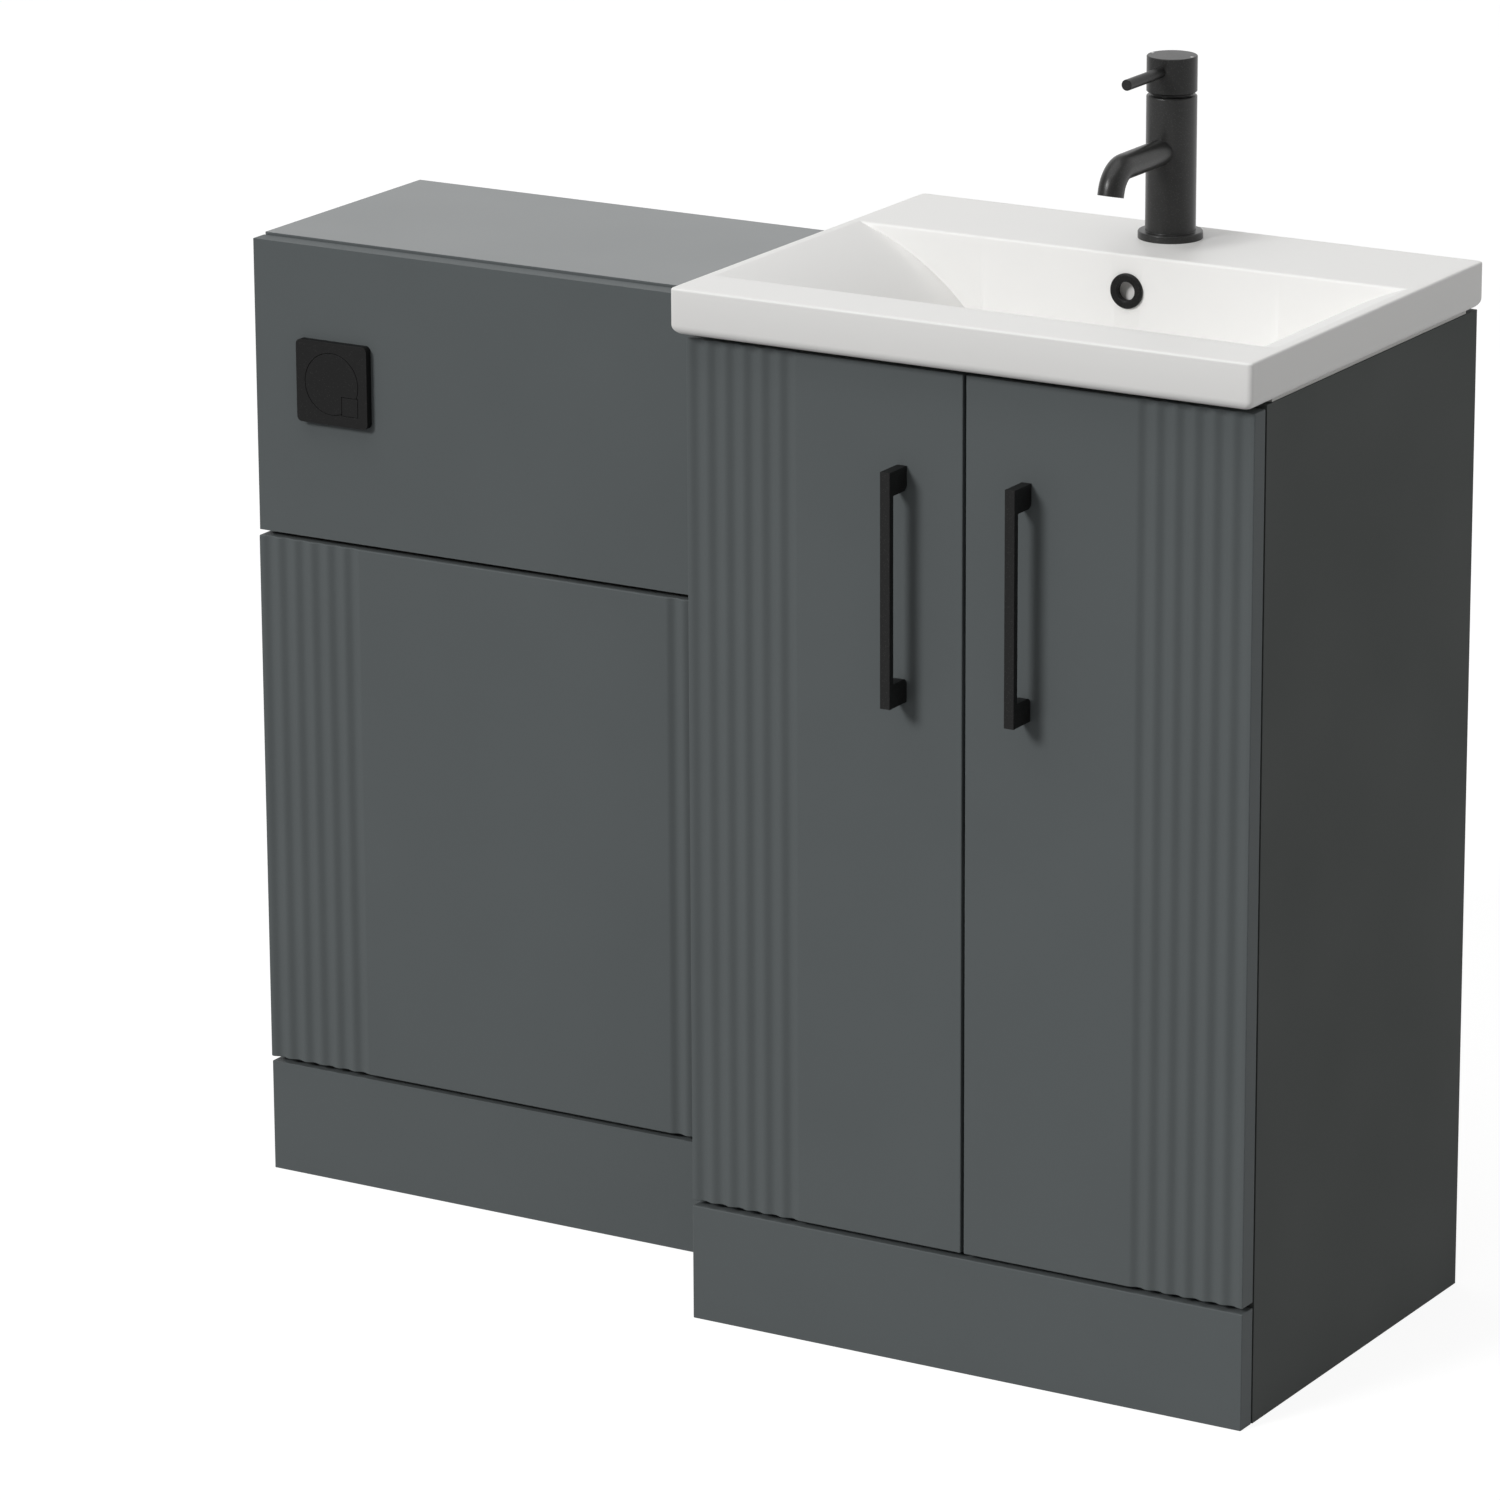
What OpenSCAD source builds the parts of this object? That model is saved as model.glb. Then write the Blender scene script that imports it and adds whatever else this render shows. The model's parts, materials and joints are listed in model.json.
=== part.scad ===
// Toilet and basin combination unit: a shallow back-to-wall toilet unit and a deeper basin unit
// with two doors, side by side, under a worktop and a ceramic basin. Millimetres, +Z up.
// The origin lies on the floor under the centre of the whole unit; +Y runs back to the wall.

/* [Cabinets] */
// Width of the toilet unit
wc_w = 500; // [450:1:600]
// Depth of the toilet unit, from the wall to the face of its fascia
wc_d = 252; // [240:1:300]
// Width of the basin unit
van_w = 500; // [480:1:700]
// Depth of the basin unit, from the wall to the faces of its doors
van_d = 383; // [375:1:450]
// How far the basin unit's side panels stand above the toilet unit's worktop
side_step = 2; // [0:0.5:20]
// Thickness of the carcass boards and of the fluted fronts
board_t = 18; // [16:0.5:19]
// Thickness of the plain fascia and plinth boards
front_t = 16; // [15:0.5:18]
// Height of the plinth boards
plinth_h = 97; // [70:1:130]
// Gap between one front board and the next
front_gap = 4.5; // [3:0.5:6]
// Gap between the fronts and the carcass behind them
carcass_gap = 2; // [1.5:0.5:3]
// Gap between the two doors
door_gap = 2.8; // [2:0.2:4]
// Height of the toilet unit's fluted lower panel
lower_panel_h = 461; // [420:1:520]
// Height of the toilet unit's fascia
fascia_h = 249.5; // [230:0.5:270]
// How far the toilet unit's worktop stands above its fascia
worktop_step = 2; // [1:0.5:4]
// How far the fluted lower panel stands proud of the fascia
panel_proud = 1.5; // [0:0.5:2]

/* [Fluting] */
// Number of grooves in each fluted band
flute_count = 6; // [2:1:8]
// Distance from one groove to the next
flute_pitch = 16.4; // [10:0.2:20]
// Depth of each groove
flute_depth = 2.4; // [1:0.1:6]
// Flat margin between a panel's outer edge and its first groove
flute_margin = 2.2; // [1:0.1:10]

/* [Basin] */
// Overhang of the basin past each side of its cabinet
basin_side = 5; // [2:0.5:10]
// Overhang of the basin past the doors
basin_front = 16.4; // [8:0.2:24]
// Height of the basin's rim
rim_h = 37.5; // [30:0.5:60]
// Thickness of the ceramic walls of the bowl
bowl_wall = 9; // [7:0.5:12]
// Depth of the bowl at the edge of its floor
bowl_depth = 101; // [85:1:110]
// Depth of the flat ledge that carries the tap
ledge_d = 117; // [100:1:125]
// Width of the flat rim along the front of the bowl
front_rim = 49.4; // [40:0.2:70]
// Width of the flat rim along each side of the bowl
side_rim = 8.5; // [6:0.5:14]
// Distance from the wall to the middle of the waste hole
waste_back = 205; // [195:1:225]
// Outer radius of the overflow ring
overflow_r = 14.3; // [12:0.1:16]
// Depth of the overflow hole's middle below the rim
overflow_drop = 29.5; // [24:0.5:40]

/* [Tap] */
// Distance from the wall to the tap's axis
tap_back = 47; // [42:1:60]
// Radius of the tap's column and head
tap_r = 20.4; // [18:0.1:23]
// Radius of the flange under the column
tap_flange_r = 26.2; // [24:0.1:30]
// Height of the column's top above the basin
tap_column_h = 116.2; // [100:0.1:140]
// Height of the tap's head
tap_head_h = 29.6; // [26:0.1:36]
// Gap between the column and the head
tap_neck_gap = 2.4; // [2.2:0.1:4]
// Height of the spout's centre line above the basin
spout_h = 72.5; // [60:0.5:85]
// Reach of the straight part of the spout from the tap's axis
spout_reach = 79.5; // [60:0.5:110]
// Outer radius of the spout
spout_r = 10.6; // [9:0.1:12]
// Length of the pin lever from the tap's axis to its end
lever_reach = 77; // [55:1:100]
// Radius of the pin lever
lever_r = 4.5; // [3:0.1:6]

/* [Handles and hinges] */
// Height of a door handle
handle_h = 190; // [130:1:240]
// Width of a handle's bar, across the door
handle_w = 8.6; // [6:0.1:12]
// Thickness of a handle's bar
handle_t = 6; // [4:0.5:8]
// How far a handle stands out from the door
handle_out = 27; // [25:0.5:40]
// Distance from a door's top edge down to the upper end of its handle
handle_drop = 78.3; // [30:0.1:250]
// Distance from a handle's middle to the middle of the door gap
handle_in = 55; // [30:1:70]
// Distance from a hinge's middle to the nearer end of its door
hinge_inset = 90; // [70:1:120]

/* [Flush plate and cistern] */
// Side of the square flush plate
plate_w = 70; // [66:1:90]
// Thickness of the flush plate
plate_t = 7; // [6:0.5:10]
// Distance from the toilet unit's left edge to the middle of the flush plate
plate_in = 80; // [70:1:110]
// Distance from the fascia's top edge down to the middle of the flush plate
plate_drop = 113.7; // [105:0.1:135]
// Radius of the round full-flush button
button_r = 26; // [22:0.1:27]
// Side of the square half-flush button
half_w = 15.5; // [12:0.1:18]
// Width of the cistern tank
tank_w = 380; // [340:1:390]
// Depth of the cistern tank
tank_d = 130; // [115:1:140]
// Height of the cistern tank without its lid
tank_h = 330; // [300:1:340]
// Outer radius of the flush pipe
flush_pipe_r = 22; // [18:0.5:25]
// Height of the flush pipe's outlet above the floor
flush_out_z = 300; // [280:1:320]

/* [Hidden] */
$fn = 64;

// Clearances and small steps used all over
fit = 0.1;          // radial clearance of a fixed or turning pin in its hole
run_gap = 0.3;      // gap left between a moving piece and its seat
cut = 1;            // how far a cut runs past the face that it opens
lap = 0.01;         // overlap that joins two forms of one piece

// Places of the main planes
total_w = wc_w + van_w + basin_side;
total_d = van_d + handle_out;
x_wc = -total_w / 2;
x_join = x_wc + wc_w;
x_end = x_join + van_w;
x_mid = (x_join + x_end) / 2;
y_wall = total_d / 2;
y_door = y_wall - van_d;
y_fascia = y_wall - wc_d;
y_panel = y_fascia - panel_proud;
y_wc_front = y_fascia + front_t + carcass_gap;
y_van_front = y_door + board_t + carcass_gap;
z_panel = plinth_h + front_gap;
z_fascia = z_panel + lower_panel_h + front_gap;
z_worktop = z_fascia + fascia_h + worktop_step;
z_wc_side = z_worktop - board_t;
side_h = z_worktop + side_step;

// Carcass rails and their fixings
rail_t = board_t;
front_rail_h = 50;
rear_rail_h = 100;
low_rail_h = 80;
stud_r = 5;
stud_in = 6;        // depth of a stud in a front board
stud_deep = 9;      // depth of a stud in a rail
stud_edge = 70;     // distance from a board's end to its outer studs
peg_r = 4;
peg_h = 8;
peg_edge = 40;
lift_gap = basin_side + 1.5;   // the worktop stops short of the basin's overhang
wall_hole_r = 2.5;
wc_wall_hole_in = 39;
van_wall_hole_in = 80;

// Basin
seal_h = 2.5;
seal_w = 8;
seal_side_in = 1;
seal_front_in = 10;
seal_back_in = 5;
z_rim0 = side_h + seal_h;
z_top = z_rim0 + rim_h;
xb0 = x_join - basin_side;
xb1 = x_end + basin_side;
yb0 = y_door - basin_front;
yb1 = y_wall;
basin_w = xb1 - xb0;
basin_d = yb1 - yb0;
skirt_t = 16;
deck_t = 13;
rim_top_r = 2;
rim_low_r = 8;
rim_corner_r = 4;
y_ledge = y_wall - ledge_d;
y_waste = y_wall - waste_back;
side_r = 225;       // radius of the bowl's bulging side
side_a0 = 16.5;     // its slope at the rim
side_a1 = 56;       // its slope at the floor's fillet
front_r = 40;
front_a1 = 75;
ledge_r = 2.5;
floor_r = 25;
floor_a = 2;
arc_n = 10;
waste_r = 21;
waste_wall = 3;
waste_tail = 75;
waste_flange_r = 32;
waste_flange_t = 2.5;
waste_gap = 1;      // gap between the waste and the ceramic round it
seat_sink = 1.5;    // the waste's flange is let this far into the floor
boss_r = 38;
boss_h = 24;
duct_w = 36;
duct_wall = 7;
duct_t = 10;
overflow_hole_r = 10.5;
overflow_pocket = 5.5;   // depth of the round pocket behind the overflow ring
overflow_slot_w = 12;    // the slot that leads from the pocket's low side to the duct
overflow_slot_up = 1.7;  // how far the slot cuts up into the pocket
overflow_slot_h = 5.5;
overflow_skin = 3;       // ceramic left in front of the slot
z_overflow = z_top - overflow_drop;
z_slot = z_overflow - overflow_hole_r + overflow_slot_up;
tap_hole_r = 17.5;
y_tap = y_wall - tap_back;

// Doors
door_w = (van_w - door_gap) / 2;
z_door = z_panel;
door_top_gap = 5;
door_h = z_rim0 - door_top_gap - z_door;
handle_z = z_door + door_h - handle_drop - handle_h;
cup_in = 22.5;
cup_r = 17.5;
cup_h = 11.5;
cup_wall = 1.5;
cup_spare = 1;      // the cup's hole is this much deeper than the cup
cup_flange = [14, 1.2, 52];
cup_flange_in = 6;  // the flange starts this far before the cup's middle
screw_r = 2;
leg_h = 19.5;
leg_round = 5;
bumper_r = 4;
bumper_in = 30;
bumper_edge = 1;

// Inside the basin unit
z_shelf = 430;
shelf_side_gap = 1;
shelf_front_in = 12;
shelf_back_in = 60;
shelf_pin_r = 2.5;
shelf_pin_deep = 8;
shelf_pin_front = 50;
shelf_pin_back = 90;
shelf_pin_y = [y_van_front + shelf_pin_front, y_wall - shelf_pin_back];
top_rail_d = 30;
block = 32;
block_drop = 20;    // plinth blocks stand this far below the plinth's top
base_lap = 1.5;     // the base board starts this far below it, so that no light shows between

// Flush button and cistern
x_plate = x_wc + plate_in;
plate_z = z_fascia + fascia_h - plate_drop;
plate_r = 4.5;
button_t = 2;
button_gap = 0.4;
piston_t = 4;
plunger_l = 22;     // reach of a button's plunger behind the fascia's face
half_x = 10;        // nearer corner of the square button, from the plate's middle
housing_r = 27;
housing_l = 41;
housing_end_t = 6;
housing_flange_r = housing_r + 6;
housing_flange_t = 1.5;
button_nut_w = 8;
button_nut_h = 7;
pump_full = [-5, 5];
pump_half = [14, -14];
pump_full_r = 8;
pump_half_r = 5;
nozzle_r = 1.6;
nozzle_l = 8;
tube_r = 2.6;
x_tank = x_wc + wc_w / 2;
tank_gap = 2;       // gap between the tank and the rail behind it
y_tank1 = y_wall - rail_t - tank_gap;
y_tank0 = y_tank1 - tank_d;
y_valve = y_tank1 - tank_d / 2;
tank_top_gap = 30;
z_tank1 = z_wc_side - tank_top_gap;
z_tank0 = z_tank1 - tank_h;
tank_t = 4;
z_floor = z_tank0 + tank_t;
lid_t = 3;
lid_skirt = 8;
tank_screw_drop = 40;
tank_screw_bite = 7;
screw_head_t = 4;
tank_screw_l = screw_head_t / 2 + tank_t + tank_gap + tank_screw_bite;
fill_in = 55;       // distance from the tank's end to the fill valve
fill_x = x_tank - tank_w / 2 + fill_in;
fill_r = 11;
fill_base_w = 6;
fill_base_t = 5;
fill_head_w = 9;
fill_head_h = 32;
fill_head_drop = 26;
fill_nut_w = 8;
fill_shank_r = 11.2;
fill_tail_r = 10.48;
fill_nut_h = 12;
fill_tail_l = 28;   // free length of the tail below its nut
tail_l = 34;
z_fill_head = z_tank1 - fill_head_drop - fill_head_h;
float_r = 26;
float_h = 80;
float_rise = 60;
float_spare = 12;   // left above the float at the top of its rise
float_gap = 0.5;    // radial gap between the float and its stem
float_stop_w = 3;
float_stop_h = 8;
z_float = z_fill_head - float_spare - float_rise - float_h;
valve_r = 30;
valve_base_r = 38;
seal_r = 31;
core_r = 15;
core_wall = 2;
core_over = 50;     // the core stands this far above its guide
bend_r = 60;
pipe_wall = 2;
pipe_end_gap = 14;  // the flush pipe ends this far behind the lower panel
pipe_nut_w = 5;
pipe_nut_cap = 8;
pipe_nut_h = 26;

// ---------- shared shapes ----------

module board(x0, x1, y0, y1, z0, z1) translate([x0, y0, z0]) cube([x1 - x0, y1 - y0, z1 - z0]);

// A cylinder from y to y + l along +Y
module rod_y(x, y, z, r, l) translate([x, y, z]) rotate([-90, 0, 0]) cylinder(r = r, h = l);

module rod_x(x, y, z, r, l) translate([x, y, z]) rotate([0, 90, 0]) cylinder(r = r, h = l);

module rod_z(x, y, z, r, l) translate([x, y, z]) cylinder(r = r, h = l);

module hex_nut(x, y, z, r, h, bore) translate([x, y, z]) difference() {
  cylinder(r = r, h = h, $fn = 6);
  translate([0, 0, -cut]) cylinder(r = bore, h = h + 2 * cut);
}

// Front outline of one fluted band, measured in from the panel's outer edge
function flute_pts() = [
  for (i = [0 : flute_count * arc_n])
    let (s = flute_margin + i * flute_pitch / arc_n)
    [s, flute_depth / 2 * (1 - cos(360 * i / arc_n))]
];

// A board with vertical grooves along its left edge, its right edge or both
module fluted_board(w, h, left, right) {
  band = flute_pts();
  n = len(band) - 1;
  front = concat(
    [[0, 0]],
    left ? band : [],
    right ? [for (i = [n : -1 : 0]) [w - band[i][0], band[i][1]]] : [],
    [[w, 0]]
  );
  linear_extrude(h) polygon(concat(front, [[w, board_t], [0, board_t]]));
}

module stud_holes(x0, x1, y_back, zs) {
  for (x = [x0 + stud_edge, x1 - stud_edge], z = zs)
    rod_y(x, y_back - stud_in, z, stud_r + fit, stud_in + cut);
}

// ---------- toilet unit ----------

z_mid_rail = z_fascia - front_gap / 2 - front_rail_h / 2;
z_low_rail = plinth_h + front_gap / 2 - front_rail_h / 2;
z_top_rail = z_wc_side - front_rail_h;
stud_off = 12;      // studs stand this far above and below a joint between two fronts
z_stud_plinth = plinth_h - stud_off;
z_stud_low = z_panel + stud_off;
z_stud_mid = z_fascia - front_gap - stud_off;
z_stud_fascia = z_fascia + stud_off;
z_stud_top = z_top_rail + front_rail_h / 2;

module wc_side(x0) {
  difference() {
    board(x0, x0 + board_t, y_wc_front, y_wall, 0, z_wc_side);
    for (y = [y_wc_front + peg_edge, y_wall - peg_edge])
      rod_z(x0 + board_t / 2, y, z_wc_side - peg_h, peg_r + fit, peg_h + cut);
  }
}

module wc_left_side() color([0.33, 0.35, 0.35]) wc_side(x_wc);

module wc_right_side() color([0.33, 0.35, 0.35]) wc_side(x_join - board_t);

module wc_worktop() color([0.33, 0.35, 0.35]) difference() {
  board(x_wc, x_join - lift_gap, y_wc_front, y_wall, z_wc_side, z_worktop);
  for (x = [x_wc + board_t / 2, x_join - board_t / 2],
       y = [y_wc_front + peg_edge, y_wall - peg_edge])
    rod_z(x, y, z_wc_side - cut, peg_r + run_gap, peg_h + run_gap + cut);
}

module worktop_pegs() color([0.85, 0.82, 0.75])
  for (x = [x_wc + board_t / 2, x_join - board_t / 2],
       y = [y_wc_front + peg_edge, y_wall - peg_edge])
    rod_z(x, y, z_wc_side - peg_h, peg_r, 2 * peg_h);

module wc_fascia() color([0.33, 0.35, 0.35]) difference() {
  board(x_wc, x_join, y_fascia, y_fascia + front_t, z_fascia, z_fascia + fascia_h);
  rod_y(x_plate, y_fascia - cut, plate_z, housing_r + run_gap, front_t + 2 * cut);
  stud_holes(x_wc, x_join, y_fascia + front_t, [z_stud_fascia, z_stud_top]);
}

module wc_lower_panel() color([0.33, 0.35, 0.35]) difference() {
  translate([x_wc, y_panel, z_panel]) fluted_board(wc_w, lower_panel_h, true, true);
  stud_holes(x_wc, x_join, y_panel + board_t, [z_stud_low, z_stud_mid]);
}

module wc_plinth() color([0.33, 0.35, 0.35]) difference() {
  board(x_wc, x_join, y_fascia, y_fascia + front_t, 0, plinth_h);
  stud_holes(x_wc, x_join, y_fascia + front_t, [z_stud_plinth]);
}

module rail_stud_holes(zs)
  for (x = [x_wc + stud_edge, x_join - stud_edge], z = zs)
    rod_y(x, y_wc_front - cut, z, stud_r + fit, stud_deep + cut);

module wc_front_rails() color([0.80, 0.72, 0.58]) difference() {
  for (z = [z_low_rail, z_mid_rail, z_top_rail])
    board(x_wc + board_t, x_join - board_t, y_wc_front, y_wc_front + rail_t, z, z + front_rail_h);
  rail_stud_holes([z_stud_plinth, z_stud_low, z_stud_mid, z_stud_fascia, z_stud_top]);
}

module wc_rear_rails() color([0.80, 0.72, 0.58]) difference() {
  for (zh = [[0, low_rail_h], [z_wc_side - rear_rail_h, rear_rail_h]])
    board(x_wc + board_t, x_join - board_t, y_wall - rail_t, y_wall, zh[0], zh[0] + zh[1]);
  for (x = [x_wc + wc_wall_hole_in, x_join - wc_wall_hole_in])
    rod_y(x, y_wall - rail_t - cut, z_wc_side - rear_rail_h / 2, wall_hole_r, rail_t + 2 * cut);
  cistern_screw_places() rod_y(0, 0, 0, screw_r + fit, tank_screw_l);
}

module wc_panel_studs() color([0.9, 0.9, 0.88])
  for (x = [x_wc + stud_edge, x_join - stud_edge]) {
    for (z = [z_stud_low, z_stud_mid]) stud(x, y_panel + board_t, z);
    for (z = [z_stud_plinth, z_stud_fascia, z_stud_top]) stud(x, y_fascia + front_t, z);
  }

// A stud from inside a front board, whose back is at y_back, into the rail behind it
module stud(x, y_back, z)
  rod_y(x, y_back - stud_in, z, stud_r, y_wc_front + stud_deep - y_back + stud_in);

// ---------- flush plate and buttons ----------

module at_plate() translate([x_plate, y_fascia, plate_z]) rotate([90, 0, 0]) children();

module rounded_square(w, r) hull() for (x = [-1, 1], y = [-1, 1])
  translate([x * (w / 2 - r), y * (w / 2 - r)]) circle(r = r);

module half_square(grow) translate([half_x - grow, -half_x - half_w - grow]) square(half_w + 2 * grow);

module flush_plate() color([0.10, 0.10, 0.10]) at_plate() difference() {
  linear_extrude(plate_t) rounded_square(plate_w, plate_r);
  translate([0, 0, -cut]) linear_extrude(plate_t + 2 * cut) {
    circle(r = button_r + button_gap);
    half_square(button_gap);
  }
  translate([0, 0, -cut]) cylinder(r = housing_flange_r + fit, h = housing_flange_t + fit + cut);
}

// The rod and piston behind a button
module plunger(at, r) translate([at[0], at[1], -plunger_l]) {
  cylinder(r = r / 2, h = plunger_l + plate_t - button_t);
  cylinder(r = r, h = piston_t);
}

module full_flush_button() color([0.12, 0.12, 0.12]) at_plate() {
  translate([0, 0, plate_t - button_t]) linear_extrude(button_t) difference() {
    circle(r = button_r);
    half_square(button_gap);
  }
  plunger(pump_full, pump_full_r);
}

module half_flush_button() color([0.12, 0.12, 0.12]) at_plate() {
  translate([0, 0, plate_t - button_t]) linear_extrude(button_t) half_square(0);
  plunger(pump_half, pump_half_r);
}

module button_housing() color([0.85, 0.85, 0.83]) at_plate() difference() {
  union() {
    cylinder(r = housing_flange_r, h = housing_flange_t);
    translate([0, 0, -housing_l]) cylinder(r = housing_r, h = housing_l);
    for (p = [pump_full, pump_half])
      translate([p[0], p[1], -housing_l - nozzle_l]) cylinder(r = nozzle_r, h = nozzle_l);
  }
  translate([pump_full[0], pump_full[1], -housing_l + housing_end_t])
    cylinder(r = pump_full_r + fit, h = housing_l);
  translate([pump_half[0], pump_half[1], -housing_l + housing_end_t])
    cylinder(r = pump_half_r + fit, h = housing_l);
}

module button_nut() color([0.85, 0.85, 0.83]) at_plate() difference() {
  translate([0, 0, -front_t - button_nut_h])
    cylinder(r = housing_r + button_nut_w, h = button_nut_h, $fn = 12);
  translate([0, 0, -front_t - button_nut_h - cut])
    cylinder(r = housing_r + fit, h = button_nut_h + 2 * cut);
}

// ---------- cistern ----------

module cistern_screw_places()
  for (x = [x_tank - tank_w / 3, x_tank + tank_w / 3])
    translate([x, y_tank1 - tank_t - screw_head_t / 2, z_tank1 - tank_screw_drop]) children();

module cistern_tank() color([0.92, 0.92, 0.90]) difference() {
  board(x_tank - tank_w / 2, x_tank + tank_w / 2, y_tank0, y_tank1, z_tank0, z_tank1);
  board(x_tank - tank_w / 2 + tank_t, x_tank + tank_w / 2 - tank_t,
        y_tank0 + tank_t, y_tank1 - tank_t, z_tank0 + tank_t, z_tank1 + cut);
  rod_z(x_tank, y_valve, z_tank0 - cut, valve_r + fit, tank_t + 2 * cut);
  rod_z(fill_x, y_valve, z_tank0 - cut, fill_shank_r + fit, tank_t + 2 * cut);
  cistern_screw_places() rod_y(0, 0, 0, screw_r + fit, tank_t + 4 * cut);
  for (z = tube_hole_z) rod_y(x_tank - tube_hole_x, y_tank0 - cut, z, tube_hole_r, tank_t + 2 * cut);
}

module cistern_lid() color([0.92, 0.92, 0.90]) difference() {
  board(x_tank - tank_w / 2 - lid_t, x_tank + tank_w / 2 + lid_t, y_tank0 - lid_t, y_tank1,
        z_tank1 - lid_skirt, z_tank1 + lid_t);
  board(x_tank - tank_w / 2 - fit, x_tank + tank_w / 2 + fit, y_tank0 - fit, y_tank1 + cut,
        z_tank1 - lid_skirt - cut, z_tank1);
}

module cistern_screws() color([0.7, 0.7, 0.7]) cistern_screw_places() {
  rod_y(0, 0, 0, screw_r, tank_screw_l);
  translate([0, -screw_head_t / 2, 0]) rod_y(0, 0, 0, 2 * screw_r, screw_head_t);
}

module fill_valve() color([0.85, 0.88, 0.92]) {
  rod_z(fill_x, y_valve, z_tank0 - fill_nut_h - fill_tail_l, fill_tail_r, fill_tail_l);
  rod_z(fill_x, y_valve, z_tank0 - fill_nut_h, fill_shank_r, fill_nut_h + tank_t);
  rod_z(fill_x, y_valve, z_floor, fill_r + fill_base_w, fill_base_t);
  rod_z(fill_x, y_valve, z_floor, fill_r, z_fill_head - z_floor + cut);
  rod_z(fill_x, y_valve, z_fill_head, fill_r + fill_head_w, fill_head_h);
  rod_z(fill_x, y_valve, z_float - float_stop_h - run_gap, fill_r + float_stop_w, float_stop_h);
}

module fill_valve_nut() color([0.9, 0.9, 0.9])
  hex_nut(fill_x, y_valve, z_tank0 - fill_nut_h, fill_shank_r + fill_nut_w, fill_nut_h,
          fill_shank_r + fit);

module fill_float() color([0.25, 0.35, 0.6]) difference() {
  rod_z(fill_x, y_valve, z_float, float_r, float_h);
  rod_z(fill_x, y_valve, z_float - cut, fill_r + float_gap, float_h + 2 * cut);
}

seat_h = 6;
guide_drop = 156;   // height of the tank's rim above the core's guide
z_guide = z_tank1 - guide_drop;
guide_h = 10;
z_core = z_floor + seat_h + run_gap;
core_l = z_guide + guide_h + core_over - z_core;
core_seal_t = 5;
post = [5, 8];
post_gap = 2;       // gap between the core's seal and the posts round it
valve_wall = 5;
relay_w = 44;       // the block on the flush valve that the air tubes end in
relay_d = 14;
relay_h = 24;
relay_lap = 3;
y_relay = y_valve - valve_base_r + relay_lap;
nozzle_half = 5.5;  // half the distance between the two nozzles
nozzle_z = [z_guide + relay_h / 2 + nozzle_half, z_guide + relay_h / 2 - nozzle_half];

module flush_valve_body() color([0.85, 0.88, 0.92]) difference() {
  union() {
    rod_z(x_tank, y_valve, z_tank0 - tail_l, valve_r, tail_l + tank_t + cut);
    rod_z(x_tank, y_valve, z_floor, valve_base_r, seat_h);
    for (a = [0 : 120 : 359]) translate([x_tank, y_valve, z_floor]) rotate([0, 0, a + 30])
      translate([seal_r + post_gap, -post[1] / 2, 0]) cube([post[0], post[1], z_guide + guide_h - z_floor]);
    rod_z(x_tank, y_valve, z_guide, valve_base_r, guide_h);
    translate([x_tank - relay_w / 2, y_relay - relay_d / 2, z_guide]) cube([relay_w, relay_d, relay_h]);
    for (z = nozzle_z) rod_x(x_tank - relay_w / 2 - nozzle_l, y_relay, z, nozzle_r, nozzle_l);
  }
  rod_z(x_tank, y_valve, z_tank0 - tail_l - cut, valve_r - valve_wall, tail_l + tank_t + seat_h + 2 * cut);
  rod_z(x_tank, y_valve, z_guide - cut, core_r + run_gap, guide_h + 2 * cut);
}

module flush_valve_core() color([0.3, 0.5, 0.75]) difference() {
  union() {
    rod_z(x_tank, y_valve, z_core, seal_r, core_seal_t);
    rod_z(x_tank, y_valve, z_core, core_r, core_l);
  }
  rod_z(x_tank, y_valve, z_core - cut, core_r - core_wall, core_l + 2 * cut);
}

z_pipe_top = z_tank0 - tail_l;

module flush_pipe() color([0.93, 0.93, 0.92]) {
  translate([x_tank, y_valve, flush_out_z + bend_r]) pipe_ring(z_pipe_top - flush_out_z - bend_r);
  translate([x_tank, y_valve - bend_r, flush_out_z + bend_r]) rotate([0, 90, 0])
    rotate_extrude(angle = 90) translate([bend_r, 0]) difference() {
      circle(r = flush_pipe_r);
      circle(r = flush_pipe_r - pipe_wall);
    }
  translate([x_tank, y_valve - bend_r, flush_out_z]) rotate([90, 0, 0]) pipe_ring(pipe_run);
}

pipe_run = y_valve - bend_r - (y_panel + board_t) - pipe_end_gap;

module pipe_ring(l) difference() {
  cylinder(r = flush_pipe_r, h = l);
  translate([0, 0, -cut]) cylinder(r = flush_pipe_r - pipe_wall, h = l + 2 * cut);
}

module flush_pipe_nut() color([0.9, 0.9, 0.9]) difference() {
  rod_z(x_tank, y_valve, z_pipe_top - pipe_nut_cap, valve_r + pipe_nut_w, pipe_nut_h);
  rod_z(x_tank, y_valve, z_pipe_top, valve_r + fit, pipe_nut_h);
  rod_z(x_tank, y_valve, z_pipe_top - pipe_nut_cap - cut, flush_pipe_r + fit, pipe_nut_h);
}

// The two air tubes run from the pump nozzles through the tank's front wall to the flush valve
tube_hole_x = 70;
tube_hole_r = tube_r + 2;
tube_hole_z = [nozzle_z[0] + 10.5, nozzle_z[1] + 3.5];
tube_sides = 8;
tube_steps = 4;

function catmull(p, i, t) =
  let (a = p[max(i - 1, 0)], b = p[i], c = p[i + 1], d = p[min(i + 2, len(p) - 1)])
  0.5 * (2 * b + (c - a) * t + (2 * a - 5 * b + 4 * c - d) * t * t + (3 * b - a - 3 * c + d) * t * t * t);

function smooth(p) = concat(
  [for (i = [0 : len(p) - 2], k = [0 : tube_steps - 1]) catmull(p, i, k / tube_steps)],
  [p[len(p) - 1]]
);

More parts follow.
